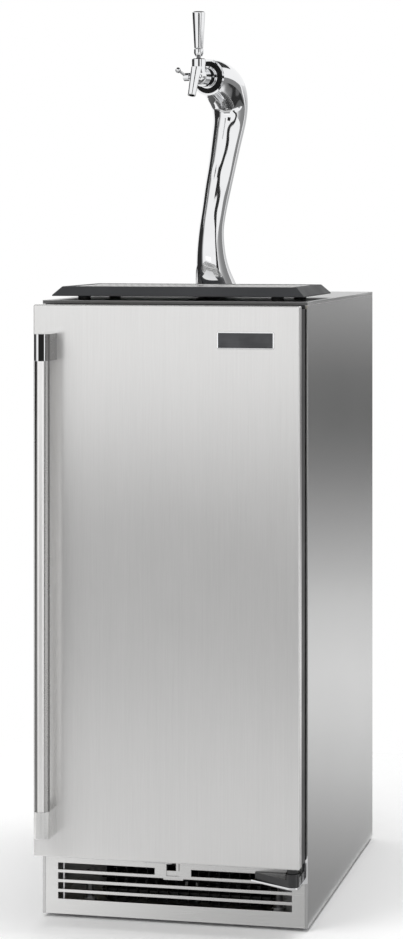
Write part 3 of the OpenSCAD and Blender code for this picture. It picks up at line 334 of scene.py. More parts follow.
def make_finishes():
    """All finishes by name, from the colours that a user may change."""
    keys = ("door", "side", "front", "chrome", "tray", "plastic", "liner")
    tones = {key: tuple(getattr(colours(), key)) for key in keys}
    return {
        "door_steel": brushed_steel("door_brushed_steel", "Z", tones["door"], 0.2, 0.72),
        "side_steel": brushed_steel("side_brushed_steel", "Y", tones["side"], 0.2),
        "top_steel": brushed_steel("top_brushed_steel", "X", tones["side"], 0.3),
        "grille_steel": brushed_steel("grille_brushed_steel", "X", tones["front"], 0.24),
        "satin_steel": brushed_steel("satin_steel", "Z", tones["front"], 0.24, 1.0, 0.000006, 0.08),
        "chrome": mirror_chrome("mirror_chrome", tones["chrome"]),
        "bar_chrome": mirror_chrome("handle_bar_polish", (0.92, 0.912, 0.905), 0.28),
        # Darker copies of the bar's chrome: painted reflections for the bar's bands and the upper bracket's
        # right side
        "bar_middle": mirror_chrome("handle_bar_middle", (0.44, 0.435, 0.43), 0.24),
        "bar_shade": mirror_chrome("handle_bar_shade", (0.2, 0.197, 0.195), 0.24),
        "tray_grey": moulded("tray_dark_grey", tones["tray"], 0.5, 1100.0, 0.00003, 0.0, 0.3),
        "grate_steel": brushed_steel("grate_brushed_steel", "X", (0.7, 0.7, 0.69), 0.3),
        # Dark grey for painted shade on the top sheet's front edge, where the gap above the door lies in
        # shadow
        "lip_trim": moulded("lip_trim_grey", (0.1, 0.1, 0.1), 0.45),
        # Near-black that stands for painted dark reflections on the head cap's face and the upper bracket's
        # front
        "head_black": moulded("head_cap_black", (0.006, 0.006, 0.006), 0.3, 500.0, 0.00003, 0.0, 0.15),
        "black_plastic": moulded("black_plastic", tones["plastic"], 0.4),
        "black_paint": moulded("black_paint", (0.02, 0.02, 0.021), 0.2, 500.0, 0.00003),
        "white_plastic": moulded("white_plastic", (0.78, 0.78, 0.755), 0.36, 700.0, 0.00002),
        "rubber": cast_rubber("black_rubber"),
        "foam": cut_foam("rigid_foam"),
        "liner": embossed_liner("embossed_liner", tones["liner"]),
        "zinc": plated_zinc("plated_zinc", (0.62, 0.62, 0.63)),
        # Dark plate for the legs and fan shroud; on the lever ball it is painted shade in the gap under the
        # collar
        "dark_zinc_and_painted_gap_shade": plated_zinc("dark_plate", (0.34, 0.34, 0.35)),
        "brass": machined_brass("machined_brass"),
        "clear_line": milky("milky_tube", (0.78, 0.81, 0.76), 0.55, 0.25),
        "lens": milky("frosted_lens", (0.92, 0.92, 0.88), 0.4, 0.4),
        "badge": badge_lacquer("badge_lacquer"),
    }


FINISHES = {}
BODY_OF = {node: body for body, nodes in frame["record"]["behaviour"]["bodies"].items() for node in nodes}
SHARP = radians(32.0)
SAME_POINT = 1e-6
FLAT = radians(0.3)


def finish_of(name):
    """A finish by name; the whole set is made at the first call."""
    if not FINISHES:
        FINISHES.update(make_finishes())
    return FINISHES[name]


def piece(name, bm, finishes, node, stands_for=()):
    """Makes a bmesh a piece on the body of a CAD node, with the finishes named."""
    mesh = bpy.data.meshes.new(name)
    bm.normal_update()
    bm.to_mesh(mesh)
    bm.free()
    for finish in finishes.split():
        mesh.materials.append(finish_of(finish))
    mesh.shade_smooth()
    mesh.set_sharp_from_angle(angle=SHARP)
    made = bpy.data.objects.new(name, mesh)
    bpy.context.scene.collection.objects.link(made)
    made.modifiers.new("Even shading", "WEIGHTED_NORMAL").keep_sharp = True
    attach(made, BODY_OF[node])
    if stands_for:
        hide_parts(*stands_for)
    return made


def dress(node, finish):
    """Gives a CAD node that stays as it is its finish."""
    mesh = frame["nodes"][node].data
    mesh.materials.clear()
    mesh.materials.append(finish_of(finish))


def copy_of(node):
    """A merged copy of a CAD node's mesh, with its flat triangles joined."""
    bm = bmesh.new()
    bm.from_mesh(frame["nodes"][node].data)
    bmesh.ops.remove_doubles(bm, verts=bm.verts, dist=SAME_POINT)
    bmesh.ops.dissolve_limit(bm, angle_limit=FLAT, verts=bm.verts, edges=bm.edges)
    return bm


def round_edges(bm, width, segments=2, edges=None, sharp=SHARP):
    """Rounds the given edges, or all the sharp ones."""
    if edges is None:
        edges = [e for e in bm.edges if e.is_manifold and e.calc_face_angle(0.0) > sharp]
    bmesh.ops.bevel(
        bm, geom=edges, offset=width, offset_type="OFFSET", segments=segments,
        profile=0.5, affect="EDGES", clamp_overlap=True, material=-1,
    )


def formed(name, node, finish, width, segments=2):
    """A piece in a CAD node's shape, its edges rounded to that width as the real one's are."""
    bm = copy_of(node)
    round_edges(bm, width, segments)
    return piece(name, bm, finish, node, (node,))


def add_block(bm, low, high):
    """Adds a block between two corners; returns its vertices."""
    low, high = Vector(low), Vector(high)
    made = bmesh.ops.create_cube(bm, size=1.0)["verts"]
    bmesh.ops.scale(bm, vec=high - low, verts=made)
    bmesh.ops.translate(bm, vec=(low + high) / 2, verts=made)
    return made


def faces_of(verts):
    """The faces whose corners are all among the given vertices."""
    inside = set(verts)
    return list({f for v in inside for f in v.link_faces if inside.issuperset(f.verts)})


def facing(bm, direction, among=None):
    """The faces that look along a direction."""
    direction = Vector(direction)
    bm.normal_update()
    return [f for f in (among or bm.faces) if f.normal.dot(direction) > 0.99]


def add_turned(bm, outline, segments=48):
    """Turns an outline of (radius, height) pairs about Z into a closed body; returns its vertices."""
    verts = [bm.verts.new((radius, 0.0, height)) for radius, height in outline]
    lines = [bm.edges.new(pair) for pair in zip(verts, verts[1:])]
    bmesh.ops.spin(
        bm, geom=verts + lines, cent=(0.0, 0.0, 0.0), axis=(0.0, 0.0, 1.0),
        angle=2.0 * pi, steps=segments, use_merge=True,
    )
    known = set(verts)
    reach = list(verts)
    while reach:
        for edge in reach.pop().link_edges:
            for vert in edge.verts:
                if vert not in known:
                    known.add(vert)
                    reach.append(vert)
    doubles = bmesh.ops.find_doubles(bm, verts=list(known), dist=1e-7)["targetmap"]
    bmesh.ops.weld_verts(bm, targetmap=doubles)
    alive = [v for v in known if v.is_valid]
    bmesh.ops.recalc_face_normals(bm, faces=faces_of(alive))
    return alive


def add_screw(bm, place, direction, radius):
    """Adds a pan-head screw with a shallow round recess on a face that looks along a direction."""
    direction = Vector(direction)
    head = add_turned(
        bm,
        [(0.0, 0.0), (radius, 0.0), (radius, radius * 0.28), (radius * 0.86, radius * 0.46),
         (radius * 0.55, radius * 0.56), (radius * 0.5, radius * 0.3), (0.0, radius * 0.26)],
        16,
    )
    turn = Vector((0.0, 0.0, 1.0)).rotation_difference(direction).to_matrix().to_4x4()
    bmesh.ops.transform(bm, matrix=Matrix.Translation(place) @ turn, verts=head)


def length(name, description, default):
    """A length in metres that a user may change."""
    return bpy.props.FloatProperty(
        name=name, description=description, default=default, min=0.0, subtype="DISTANCE", unit="LENGTH"
    )


def colour(name, description, default):
    """A colour that a user may change."""
    return bpy.props.FloatVectorProperty(
        name=name, description=description, default=default, size=3, min=0.0, max=1.0, subtype="COLOR"
    )


class DispenserSizes(bpy.types.PropertyGroup):
    """Small sizes of the pressed and turned edges."""

    door_edge: length("Door edge", "Radius of the door's folded edges", 2.0 * MM)
    door_sheet: length("Door sheet", "Thickness of the door's sheet", 1.2 * MM)
    sheet_edge: length("Sheet edge", "Radius of the cabinet's folded edges", 0.5 * MM)
    bracket_edge: length("Bracket edge", "Radius of the handle brackets' edges", 2.0 * MM)
    tray_edge: length("Tray edge", "Radius of the drip tray's edges", 1.1 * MM)
    badge_border: length("Badge border", "Width of the bright border of the badge", 1.2 * MM)
    screw_radius: length("Screw head", "Radius of the rear panel's screw heads", 3.5 * MM)
    wire_radius: length("Filter wire", "Radius of the wire behind the toe grille", 1.3 * MM)


class DispenserColours(bpy.types.PropertyGroup):
    """Colours of the main finishes."""

    door: colour("Door", "Brushed steel of the door", (0.745, 0.742, 0.735))
    side: colour("Sides", "Brushed steel of the cabinet's sides", (0.58, 0.58, 0.578))
    front: colour("Toe grille", "Brushed steel of the toe grille", (0.75, 0.747, 0.74))
    chrome: colour("Tower", "Bright plating of the tower and the tap", (0.86, 0.865, 0.875))
    tray: colour("Drip tray", "Coating of the drip tray", (0.03, 0.031, 0.033))
    plastic: colour("Black plastic", "Door tray, hinge cover and small parts", (0.016, 0.016, 0.017))
    liner: colour("Liner", "Embossed sheet inside the cabinet", (0.72, 0.73, 0.74))


def sizes():
    """The sizes that a user may change."""
    return bpy.context.scene.dispenser_sizes


def colours():
    """The colours that a user may change."""
    return bpy.context.scene.dispenser_colours


class DISPENSER_OT_cabinet(bpy.types.Operator):
    """Make the cabinet's outer sheets, its base and its rear"""

    bl_idname = "dispenser.cabinet"
    bl_label = "Cabinet"

    def execute(self, context):
        edge = sizes().sheet_edge
        formed("left_side_sheet", "left_side_panel", "side_steel", edge)
        formed("right_side_sheet", "right_side_panel", "side_steel", edge)
        self.top()
        formed("base_pan_sheet", "base_pan", "zinc", edge)
        formed("rear_sheet", "rear_panel", "zinc", edge / 2)
        self.rear_screws()
        return {"FINISHED"}

    def top(self):
        """The top sheet, with painted shade along its front edge: its front faces take a dark grey."""
        bm = copy_of("top_panel")
        round_edges(bm, sizes().sheet_edge)
        # Front-facing faces take the dark grey: painted shade
        for face in facing(bm, (0.0, -1.0, 0.0)):
            face.material_index = 1
        piece("top_sheet", bm, "top_steel lip_trim", "top_panel", ("top_panel",))

    def rear_screws(self):
        """A column of screw heads down each side of the rear panel."""
        low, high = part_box("rear_panel")
        inset = 9.0 * MM
        gaps = 4
        pitch = (high.z - low.z - 2.0 * inset) / gaps
        bm = bmesh.new()
        for x in (low.x + inset, high.x - inset):
            for row in range(gaps + 1):
                z = low.z + inset + row * pitch
                add_screw(bm, (x, high.y, z), (0.0, 1.0, 0.0), sizes().screw_radius)
        piece("rear_screws", bm, "zinc", "rear_panel")


class DISPENSER_OT_front(bpy.types.Operator):
    """Make the toe grille, the mouth frame, the lock catch and the hinges"""

    bl_idname = "dispenser.front"
    bl_label = "Front and hinges"

    def execute(self, context):
        formed("toe_grille_sheet", "toe_grille", "grille_steel", 0.45 * MM)
        formed("mouth_trim", "mouth_frame", "black_plastic", 0.6 * MM)
        formed("lock_catch_bracket", "lock_catch", "satin_steel", 0.3 * MM)
        formed("upper_hinge", "upper_hinge_plate", "black_paint", 0.4 * MM)
        formed("lower_hinge", "lower_hinge_arm", "chrome", 0.5 * MM)
        formed("lower_hinge_shell", "lower_hinge_cover", "black_paint", 1.2 * MM, 3)
        formed("hinge_pin_pair", "hinge_pins", "zinc", 0.5 * MM)
        self.filter_wire()
        return {"FINISHED"}

    def filter_wire(self):
        """An upright wire behind the slots' left ends that holds the filter."""
        low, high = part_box("toe_grille")
        radius = sizes().wire_radius
        inset = 26.0 * MM
        margin = 12.0 * MM
        reach = high.z - low.z - 2.0 * margin
        bm = bmesh.new()
        wire = add_turned(
            bm,
            [(0.0, 0.0), (radius * 0.7, 0.0), (radius, radius * 0.3), (radius, reach - radius * 0.3),
             (radius * 0.7, reach), (0.0, reach)],
            16,
        )
        bmesh.ops.translate(bm, vec=(low.x + inset, high.y + radius, low.z + margin), verts=wire)
        piece("filter_wire", bm, "zinc", "toe_grille")


class DISPENSER_OT_door(bpy.types.Operator):
    """Make the door's steel skin, inner tray, seal, badge and lock"""

    bl_idname = "dispenser.door"
    bl_label = "Door"

    def execute(self, context):
        self.skin()
        self.badge()
        formed("door_inner_tray", "door_tray", "black_plastic", 0.8 * MM)
        formed("door_gasket", "door_seal", "rubber", 1.6 * MM, 3)
        formed("hinge_bush_pair", "hinge_bushes", "black_plastic", 0.3 * MM)
        formed("lock_cylinder", "lock_barrel", "satin_steel", 0.3 * MM)
        formed("lock_hook", "lock_cam", "zinc", 0.3 * MM)
        dress("door_foam", "foam")
        return {"FINISHED"}

    def skin(self):
        """A folded pan: a block without its back, rounded, then given the sheet's thickness."""
        low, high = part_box("door_skin")
        bm = bmesh.new()
        add_block(bm, low, high)
        bmesh.ops.delete(bm, geom=facing(bm, (0.0, 1.0, 0.0)), context="FACES")
        round_edges(bm, sizes().door_edge, 4)
        bmesh.ops.solidify(bm, geom=bm.faces[:], thickness=sizes().door_sheet)
        piece("door_panel", bm, "door_steel", "door_skin", ("door_skin",))

    def badge(self):
        """A plate with rounded corners, its face sunk inside a bright border."""
        low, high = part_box("badge_plate")
        corner_radius = 1.5 * MM
        rim_radius = 0.3 * MM
        wall = 0.15 * MM
        sunk = 0.4 * MM
        least_depth = 0.5 * MM
        bm = bmesh.new()
        add_block(bm, low, high)
        corners = [e for e in bm.edges if abs((e.verts[0].co - e.verts[1].co).y) > least_depth]
        round_edges(bm, corner_radius, 4, corners)
        rim = list({e for f in facing(bm, (0.0, -1.0, 0.0)) for e in f.edges})
        round_edges(bm, rim_radius, 2, rim)
        face = max(facing(bm, (0.0, -1.0, 0.0)), key=lambda f: f.calc_area())
        bmesh.ops.inset_region(bm, faces=[face], thickness=sizes().badge_border - rim_radius, depth=0.0)
        bmesh.ops.inset_region(bm, faces=[face], thickness=wall, depth=-sunk)
        face.material_index = 1
        piece("badge", bm, "chrome badge", "badge_plate", ("badge_plate",))


# Painted reflections: darker bands along the bar that stand for mirrored dark surroundings: first and last
# degree from the front, finish slot
BAR_PAINTED_REFLECTIONS = ((-76.0, -21.0, 2), (28.0, 66.0, 1), (66.0, 108.0, 2))
# Where the painted dark reflection down the upper bracket's front starts and ends, as shares of its width
FOOT_PAINTED_REFLECTION = (0.4, 0.74)
# Facing limits for the bracket's front and right side, which take painted dark reflections
FOOT_FRONT = -0.3
FOOT_SIDE = 0.6


class DISPENSER_OT_handle(bpy.types.Operator):
    """Make the handle bar and its two brackets"""

    bl_idname = "dispenser.handle"
    bl_label = "Handle"

    def execute(self, context):
        low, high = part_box("handle_bar")
        radius = (high.x - low.x) / 2.0
        reach = high.z - low.z
        chamfer = 1.2 * MM
        bm = bmesh.new()
        bar = add_turned(
            bm,
            [(0.0, 0.0), (radius - chamfer, 0.0), (radius, chamfer), (radius, reach / 2.0),
             (radius, reach - chamfer), (radius - chamfer, reach), (0.0, reach)],
            64,
        )
        middle = (low + high) / 2.0
        bmesh.ops.translate(bm, vec=(middle.x, middle.y, low.z), verts=bar)
        bm.normal_update()
        # Faces turned into a band take its darker finish: painted reflection
        for face in bm.faces:
            turn = degrees(atan2(face.normal.x, -face.normal.y))
            bands = [slot for first, last, slot in BAR_PAINTED_REFLECTIONS if first < turn < last]
            face.material_index = bands[0] if bands else 0
        piece("handle_rod", bm, "bar_chrome bar_middle bar_shade", "handle_bar", ("handle_bar",))
        self.upper_foot()
        formed("lower_handle_foot", "lower_handle_bracket", "satin_steel", sizes().bracket_edge, 4)
        return {"FINISHED"}

    def upper_foot(self):
        """The upper bracket, with painted dark reflections: a dark line down its front and a dark right side.
        """
        node = "upper_handle_bracket"
        low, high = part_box(node)
        line = [low.x + (high.x - low.x) * share for share in FOOT_PAINTED_REFLECTION]
        bm = copy_of(node)
        round_edges(bm, sizes().bracket_edge, 4)
        for cut in line:
            geometry = [*bm.verts, *bm.edges, *bm.faces]
            bmesh.ops.bisect_plane(
                bm, geom=geometry, dist=SAME_POINT, plane_co=(cut, 0.0, 0.0), plane_no=(1.0, 0.0, 0.0)
            )
        bm.normal_update()
        # Front strip near-black, right side dark: painted reflections on chrome
        for face in bm.faces:
            if face.normal.y < FOOT_FRONT and line[0] < face.calc_center_median().x < line[1]:
                face.material_index = 1
            elif face.normal.x > FOOT_SIDE:
                face.material_index = 2
        piece("upper_handle_foot", bm, "chrome head_black bar_shade", node, (node,))


class DISPENSER_OT_tray(bpy.types.Operator):
    """Make the drip tray with its pan, feet and grate"""

    bl_idname = "dispenser.tray"
    bl_label = "Drip tray"

    def execute(self, context):
        formed("tray_rim", "drip_tray", "tray_grey", sizes().tray_edge, 3)
        formed("tray_floor", "tray_pan", "tray_grey", 0.3 * MM)
        formed("tray_foot_set", "tray_feet", "rubber", 0.8 * MM, 3)
        formed("tray_grate", "drip_grate", "grate_steel", 0.35 * MM, 1)
        return {"FINISHED"}


class DISPENSER_OT_tower(bpy.types.Operator):
    """Make the curved tower with its base seal, head cap, shank and nut"""

    bl_idname = "dispenser.tower"
    bl_label = "Tower"

    def execute(self, context):
        self.column()
        formed("tower_gasket", "tower_base_seal", "rubber", 0.6 * MM)
        # The head cap's face is near-black: a painted dark reflection on chrome
        formed("head_disc", "head_cap", "head_black", 0.5 * MM)
        formed("shank", "faucet_shank", "chrome", 0.3 * MM)
        formed("slotted_nut", "coupling_nut", "chrome", 0.6 * MM, 3)
        dress("beer_line", "clear_line")
        dress("roof_bushing", "white_plastic")
        return {"FINISHED"}

    def column(self):
        """The column's rings as clean four-sided faces, smoothed by subdivision."""
        bm = bmesh.new()
        bm.from_mesh(frame["nodes"]["tower_column"].data)
        bmesh.ops.remove_doubles(bm, verts=bm.verts, dist=SAME_POINT)
        bmesh.ops.join_triangles(
            bm, faces=bm.faces[:], angle_face_threshold=radians(40.0), angle_shape_threshold=radians(80.0)
        )
        crease = bm.edges.layers.float.new("crease_edge")
        for edge in bm.edges:
            if edge.is_manifold and edge.calc_face_angle(0.0) > radians(45.0):
                edge[crease] = 1.0
        made = piece("tower_tube", bm, "chrome", "tower_column", ("tower_column",))
        made.modifiers.clear()
        smooth = made.modifiers.new("Smooth rings", "SUBSURF")
        smooth.levels = 1
        smooth.render_levels = 1


class DISPENSER_OT_tap(bpy.types.Operator):
    """Make the flow-control tap with its spout, bonnet and lever"""

    bl_idname = "dispenser.tap"
    bl_label = "Tap"

    def execute(self, context):
        formed("tap_body", "faucet_body", "chrome", 0.35 * MM)
        formed("tap_bonnet", "faucet_bonnet", "chrome", 0.4 * MM, 3)
        # The lever ball takes the dark plate so the gap under the collar reads dark: painted shade
        formed("lever_joint", "lever_ball", "dark_zinc_and_painted_gap_shade", 0.3 * MM)
        formed("lever_collar", "lever_ferrule", "chrome", 0.5 * MM, 3)
        formed("lever_grip", "lever_handle", "chrome", 1.0 * MM, 4)
        formed("flow_arm", "flow_lever", "chrome", 0.5 * MM, 3)
        dress("valve_shaft", "brass")
        return {"FINISHED"}


class DISPENSER_OT_interior(bpy.types.Operator):
    """Make what lies inside the cavity and dress its lining"""

    bl_idname = "dispenser.interior"
    bl_label = "Interior"

    def execute(self, context):
        dress("inner_liner", "liner")
        dress("foam_insulation", "foam")
        dress("evaporator_coil", "zinc")
        formed("keg_plate", "keg_floor", "zinc", 0.4 * MM)
        formed("cold_cover", "evaporator_cover", "white_plastic", 0.8 * MM)
        formed("cold_fan", "evaporator_fan", "white_plastic", 0.25 * MM, 1)
        formed("thermostat_box", "thermostat_housing", "white_plastic", 1.0 * MM, 3)
        formed("thermostat_knob", "thermostat_dial", "black_plastic", 0.6 * MM, 3)
        formed("lamp_lens", "interior_lamp", "lens", 0.8 * MM, 3)
        return {"FINISHED"}


class DISPENSER_OT_machinery(bpy.types.Operator):
    """Make the cooling machinery, the rear fittings and the legs"""

    bl_idname = "dispenser.machinery"
    bl_label = "Machinery and legs"

    def execute(self, context):
        formed("compressor_can", "compressor", "black_paint", 1.0 * MM)
        dress("condenser_coil", "black_plastic")
        formed("fan_shroud", "condenser_shroud", "dark_zinc_and_painted_gap_shade", 0.3 * MM, 1)
        formed("warm_fan", "condenser_fan", "black_plastic", 0.25 * MM, 1)
        formed("gas_fitting", "gas_inlet", "brass", 0.3 * MM)
        formed("lead_gland", "power_gland", "black_plastic", 0.5 * MM)
        for corner in ("front_left", "front_right", "rear_left", "rear_right"):
            formed(f"{corner}_levelling_leg", f"{corner}_leg", "dark_zinc_and_painted_gap_shade", 0.5 * MM)
        return {"FINISHED"}


class DispenserStudio(bpy.types.PropertyGroup):
    """Light and floor of the studio."""

    floor: colour("Floor", "Colour of the studio floor", (0.97, 0.97, 0.97))
    surround: bpy.props.FloatProperty(
        name="Surround", description="Soft light from all sides", default=0.55, min=0.0
    )
    key_power: bpy.props.FloatProperty(
        name="Key lamp", description="Power of the large lamp at the front",
        default=70.0, min=0.0, unit="POWER",
    )
    top_power: bpy.props.FloatProperty(
        name="Top lamp", description="Power of the lamp overhead", default=60.0, min=0.0, unit="POWER"
    )
    focal: bpy.props.FloatProperty(
        name="Lens", description="Focal length of the camera", default=99.57, min=1.0, unit="CAMERA"
    )


CAMERA_PLACE = (0.83814, -3.73756, 0.96871)
CAMERA_YAW = radians(12.85)
CAMERA_DROP = -0.2599
SENSOR_WIDTH = 36.0
FLOOR_CLEAR = 0.45
FLOOR_REACH = 1.15
KEY_PLACE, KEY_SIZE = (-1.9, -3.0, 2.9), 2.4
TOP_PLACE, TOP_SIZE = (0.3, 0.2, 3.4), 2.0
LAMP_AIM = Vector((0.0, 0.0, 0.6))

MIRROR_CENTRE = Vector((0.0, 0.05, 1.05))
UP = (0.0, 0.0, 1.0)
BACK = (0.0, 1.0, 0.0)
RIGHT = (1.0, 0.0, 0.0)
BLACK = 0.03


def sheet(near, far, run, levels):
    """Rows of a flat card: its first edge moved along a direction, with a grey level at each row."""
    return [
        (Vector(near) + Vector(run) * step, Vector(far) + Vector(run) * step, level) for step, level in levels
    ]


def toward(azimuth, rise, reach):
    """A point at a distance from the tower, its azimuth from the front and its rise in degrees."""
    level = cos(radians(rise)) * reach
    side = Vector((sin(radians(azimuth)), -cos(radians(azimuth)), 0.0))
    return MIRROR_CENTRE + side * level + Vector((0.0, 0.0, sin(radians(rise)) * reach))


def upright(reach, rows):
    """Rows of a card bent round the tower: azimuth and rise of the two ends, grey level."""
    return [(toward(a, b, reach), toward(c, d, reach), level) for a, b, c, d, level in rows]


def ribbon(reach, level, rows):
    """Rows of a grey card bent round the tower: azimuth and rise of its two edges."""
    return upright(reach, [(*row, level) for row in rows])


# Cards out of the camera's sight that the metal mirrors
CARDS = {
    "front_card": sheet(
        (-1.9, -3.25, 0.0), (0.6, -3.25, 0.0), UP,
        ((0.0, 0.24), (0.16, 0.24), (0.25, 0.29), (0.31, 0.4), (0.363, 0.56), (0.462, 0.87), (0.5615, 1.16),
         (0.66, 1.32), (0.78, 1.36)),
    ),
    "front_floor_card": sheet(
        (-1.9, -3.25, 0.002), (0.6, -3.25, 0.002), BACK,
        ((0.0, 0.31), (0.45, 0.41), (1.0, 0.53), (1.45, 0.63), (1.85, 0.7), (2.9, 0.74)),
    ),
    "toe_card": sheet(
        (-0.45, -0.62, 0.004), (-0.45, -0.24, 0.004), RIGHT,
        ((0.0, 1.0), (0.2, 1.0), (0.33, 0.8), (0.45, 0.62), (0.56, 0.52), (0.85, 0.5)),
    ),
    "rear_right_card": sheet(
        (0.25, 3.0, 0.0), (3.0, 3.0, 0.0), UP,
        ((0.0, 0.74), (0.05, 0.62), (0.2, 0.42), (0.33, 0.25), (0.46, 0.16), (0.58, 0.18), (0.7, 0.32),
         (0.8, 0.45), (0.95, 0.55), (1.6, 0.8)),
    ),
    "right_floor_card": sheet(
        (0.195, -0.24, 0.002), (2.4, -0.24, 0.002), BACK,
        ((0.0, 0.3), (0.3, 0.36), (0.44, 0.42), (0.74, 0.56), (1.04, 0.7),
         (1.54, 0.84), (2.04, 0.9), (3.24, 0.75)),
    ),
    "left_card": upright(
        1.15,
        ((-118, -60, -66, -60, 0.6), (-118, -38, -66, -38, 0.4), (-118, -20, -66, -20, BLACK),
         (-118, 12, -67, 12, BLACK), (-120, 19, -80, 19, BLACK), (-122, 30, -88, 30, BLACK)),
    ),
    "left_low_fade_card": upright(
        1.15, ((-66, -20, -67, 12, BLACK), (-60, -20, -62, 12, 0.2), (-49, -20, -51, 12, 0.9))
    ),
    "left_high_fade_card": upright(
        1.15, ((-67, 12, -88, 30, BLACK), (-62, 12, -74, 31, 0.2), (-51, 12, -60, 33, 0.9))
    ),
    "right_card": upright(
        1.3,
        ((62, -14, 62, 4, 0.85), (70, -14, 70, 6, 0.6), (76, -14, 76, 7, 0.42), (84, -14, 84, 8, 0.32),
         (96, -14, 96, 8, 0.26), (128, -14, 128, 8, 0.24)),
    ),
    "right_shelf_card": sheet(
        (0.195, -0.15, 0.861), (1.5, 0.79, 0.861), BACK,
        ((0.0, 0.14), (0.145, 0.12), (0.16, BLACK), (0.24, BLACK), (0.255, 0.14), (0.35, 0.25), (0.45, 1.0)),
    ),
    "base_card": sheet((-0.045, -0.06, 0.8834), (0.02, -0.06, 0.8834), BACK, ((0.0, 0.7), (0.056, 0.85))),
    "rear_shelf_card": sheet((-0.8, 0.33, 0.861), (0.08, 0.33, 0.861), BACK, ((0.0, 0.1), (1.0, 0.14))),
    "ceiling_card": sheet((-1.3, -1.5, 2.6), (1.3, -1.5, 2.6), BACK, ((0.0, 0.05), (4.3, 0.05))),
    "arch_card": ribbon(
        2.2, BLACK,
        ((30, -30, 46, -28), (33, -21, 46, -18), (38, -14, 57, -12), (44, -9, 60, -7), (49, -3, 62, -1),
         (50, 4, 61, 4), (49, 10, 60, 11), (46, 15.5, 58, 17), (42, 19, 52, 22),
         (36, 22.5, 43, 26), (29, 26, 33, 30), (21, 30.5, 25, 35), (12, 34, 17, 38.5),
         (2, 38, 7, 41), (-12, 40, -10, 42.5)),
    ),
    "lever_card": sheet((0.0, -0.27, 1.195), (0.13, -0.27, 1.195), UP, ((0.0, BLACK), (0.08, BLACK))),
}


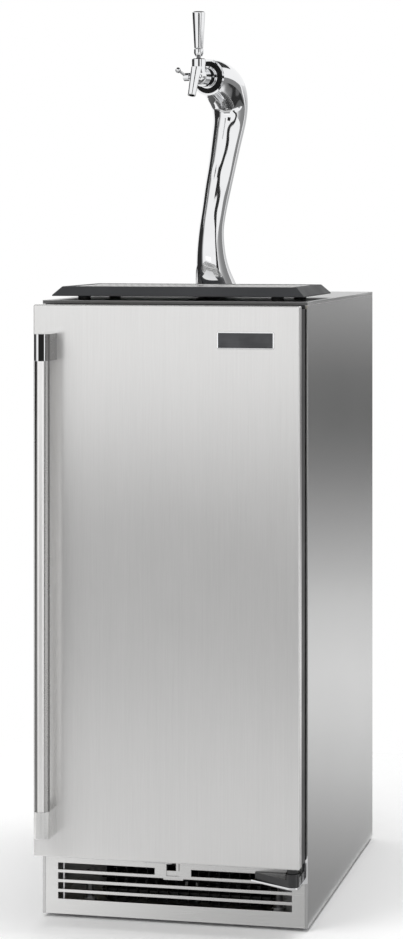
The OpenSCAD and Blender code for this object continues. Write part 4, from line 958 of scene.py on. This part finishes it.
class DISPENSER_OT_stage(bpy.types.Operator):
    """Set up the floor, the soft light, the surround and the camera"""

    bl_idname = "dispenser.stage"
    bl_label = "Stage"

    def execute(self, context):
        context.scene.view_settings.view_transform = "Standard"
        self.floor(context)
        self.surround(context)
        self.cards(context)
        studio = context.scene.dispenser_studio
        self.lamp(context, "key_lamp", KEY_PLACE, KEY_SIZE, studio.key_power)
        self.lamp(context, "top_lamp", TOP_PLACE, TOP_SIZE, studio.top_power)
        self.camera(context)
        return {"FINISHED"}

    def floor(self, context):
        """A pale floor round the object that fades into the white surround."""
        mesh = bpy.data.meshes.new("studio_floor")
        bm = bmesh.new()
        bmesh.ops.create_grid(bm, x_segments=1, y_segments=1, size=FLOOR_REACH)
        bm.to_mesh(mesh)
        bm.free()
        f = Finish("studio_floor_paint")
        tone = tuple(context.scene.dispenser_studio.floor)
        mottle = f.cloud(1.5, f.place(), 3.0)
        f.surface(
            Base_Color=f.mix(mottle, tone, tuple(c * 0.985 for c in tone)),
            Roughness=0.9,
            Specular_IOR_Level=0.1,
        )
        seat = f.node("ShaderNodeTexCoord", output="Object")
        away = f.node("ShaderNodeVectorMath", {"operation": "LENGTH"}, {0: seat}, "Value")
        f.surface(Alpha=1.0 - f.spread(away, FLOOR_CLEAR, FLOOR_REACH))
        mesh.materials.append(f.material)
        made = bpy.data.objects.new("studio_floor", mesh)
        context.scene.collection.objects.link(made)

    def surround(self, context):
        """White to the eye and to mirrors, softer as a light."""
        world = bpy.data.worlds.new("studio_surround")
        world.use_nodes = True
        context.scene.world = world
        wires = NodeSheet(world.node_tree)
        world.node_tree.nodes.clear()
        seen = sum(
            wires.node("ShaderNodeLightPath", output=ray)
            for ray in ("Is Camera Ray", "Is Glossy Ray", "Is Transmission Ray")
        )
        fill = context.scene.dispenser_studio.surround
        share = wires.node("ShaderNodeMath", {"operation": "MINIMUM"}, {0: seen, 1: 1.0})
        glow = wires.node(
            "ShaderNodeBackground", None,
            {"Color": (1.0, 1.0, 1.0, 1.0), "Strength": fill + share * (1.0 - fill)},
        )
        wires.node("ShaderNodeOutputWorld", None, {"Surface": glow})

    def cards(self, context):
        """Grey cards, each a row of strips between its levels."""
        felt = NodeSheet(self.card_felt())
        glow = felt.node("ShaderNodeAttribute", {"attribute_name": "level"}, None, "Fac")
        card = felt.node("ShaderNodeEmission", None, {"Strength": glow})
        felt.node("ShaderNodeOutputMaterial", None, {"Surface": card})
        for name, edges in CARDS.items():
            bm = bmesh.new()
            tone = bm.verts.layers.float.new("level")
            rows = []
            for near, far, level in edges:
                row = [bm.verts.new(near), bm.verts.new(far)]
                for vert in row:
                    vert[tone] = level
                rows.append(row)
            for a, b in zip(rows, rows[1:]):
                bm.faces.new((a[0], a[1], b[1], b[0]))
            mesh = bpy.data.meshes.new(name)
            bm.to_mesh(mesh)
            bm.free()
            mesh.materials.append(bpy.data.materials["card_felt"])
            made = bpy.data.objects.new(name, mesh)
            context.scene.collection.objects.link(made)
            made.visible_camera = False
            made.visible_diffuse = False
            made.visible_shadow = False

    def card_felt(self):
        """The empty node tree of the cards' material."""
        material = bpy.data.materials.new("card_felt")
        material.use_nodes = True
        material.node_tree.nodes.clear()
        return material.node_tree

    def lamp(self, context, name, place, size, power):
        """A round soft lamp that mirrors do not see."""
        light = bpy.data.lights.new(name, "AREA")
        light.shape = "DISK"
        light.size = size
        light.energy = power
        made = bpy.data.objects.new(name, light)
        made.location = place
        aim = LAMP_AIM - Vector(place)
        made.rotation_euler = aim.to_track_quat("-Z", "Y").to_euler()
        made.visible_glossy = False
        context.scene.collection.objects.link(made)

    def camera(self, context):
        """A level camera, shifted down to the photo's frame."""
        view = bpy.data.cameras.new("photo_camera")
        view.lens = context.scene.dispenser_studio.focal
        view.sensor_width = SENSOR_WIDTH
        view.shift_y = CAMERA_DROP
        made = bpy.data.objects.new("photo_camera", view)
        made.location = CAMERA_PLACE
        made.rotation_euler = (pi / 2.0, 0.0, CAMERA_YAW)
        context.scene.collection.objects.link(made)
        context.scene.camera = made


OPERATORS = (
    DISPENSER_OT_cabinet,
    DISPENSER_OT_front,
    DISPENSER_OT_door,
    DISPENSER_OT_handle,
    DISPENSER_OT_tray,
    DISPENSER_OT_tower,
    DISPENSER_OT_tap,
    DISPENSER_OT_interior,
    DISPENSER_OT_machinery,
    DISPENSER_OT_stage,
)


class DISPENSER_PT_panel(bpy.types.Panel):
    """Lists the dispenser's settings and operators"""

    bl_idname = "DISPENSER_PT_panel"
    bl_label = "Draft beer dispenser"
    bl_space_type = "VIEW_3D"
    bl_region_type = "UI"
    bl_category = "Dispenser"

    def draw(self, context):
        for group in ("dispenser_sizes", "dispenser_colours", "dispenser_studio"):
            settings = getattr(context.scene, group)
            for key in settings.__annotations__:
                self.layout.prop(settings, key)
        for operator in OPERATORS:
            self.layout.operator(operator.bl_idname)


SETTINGS = (
    ("dispenser_sizes", DispenserSizes),
    ("dispenser_colours", DispenserColours),
    ("dispenser_studio", DispenserStudio),
)


def register():
    """Adds the settings, the operators and the panel."""
    for name, group in SETTINGS:
        bpy.utils.register_class(group)
        setattr(bpy.types.Scene, name, bpy.props.PointerProperty(type=group))
    for operator in OPERATORS:
        bpy.utils.register_class(operator)
    bpy.utils.register_class(DISPENSER_PT_panel)


def unregister():
    """Takes away what register added, in the opposite order."""
    bpy.utils.unregister_class(DISPENSER_PT_panel)
    for operator in reversed(OPERATORS):
        bpy.utils.unregister_class(operator)
    for name, group in reversed(SETTINGS):
        delattr(bpy.types.Scene, name)
        bpy.utils.unregister_class(group)


def main():
    """Builds the dispenser and its stage."""
    register()
    bpy.ops.dispenser.cabinet()
    bpy.ops.dispenser.front()
    bpy.ops.dispenser.door()
    bpy.ops.dispenser.handle()
    bpy.ops.dispenser.tray()
    bpy.ops.dispenser.tower()
    bpy.ops.dispenser.tap()
    bpy.ops.dispenser.interior()
    bpy.ops.dispenser.machinery()
    bpy.ops.dispenser.stage()


if __name__ == "__main__":
    main()
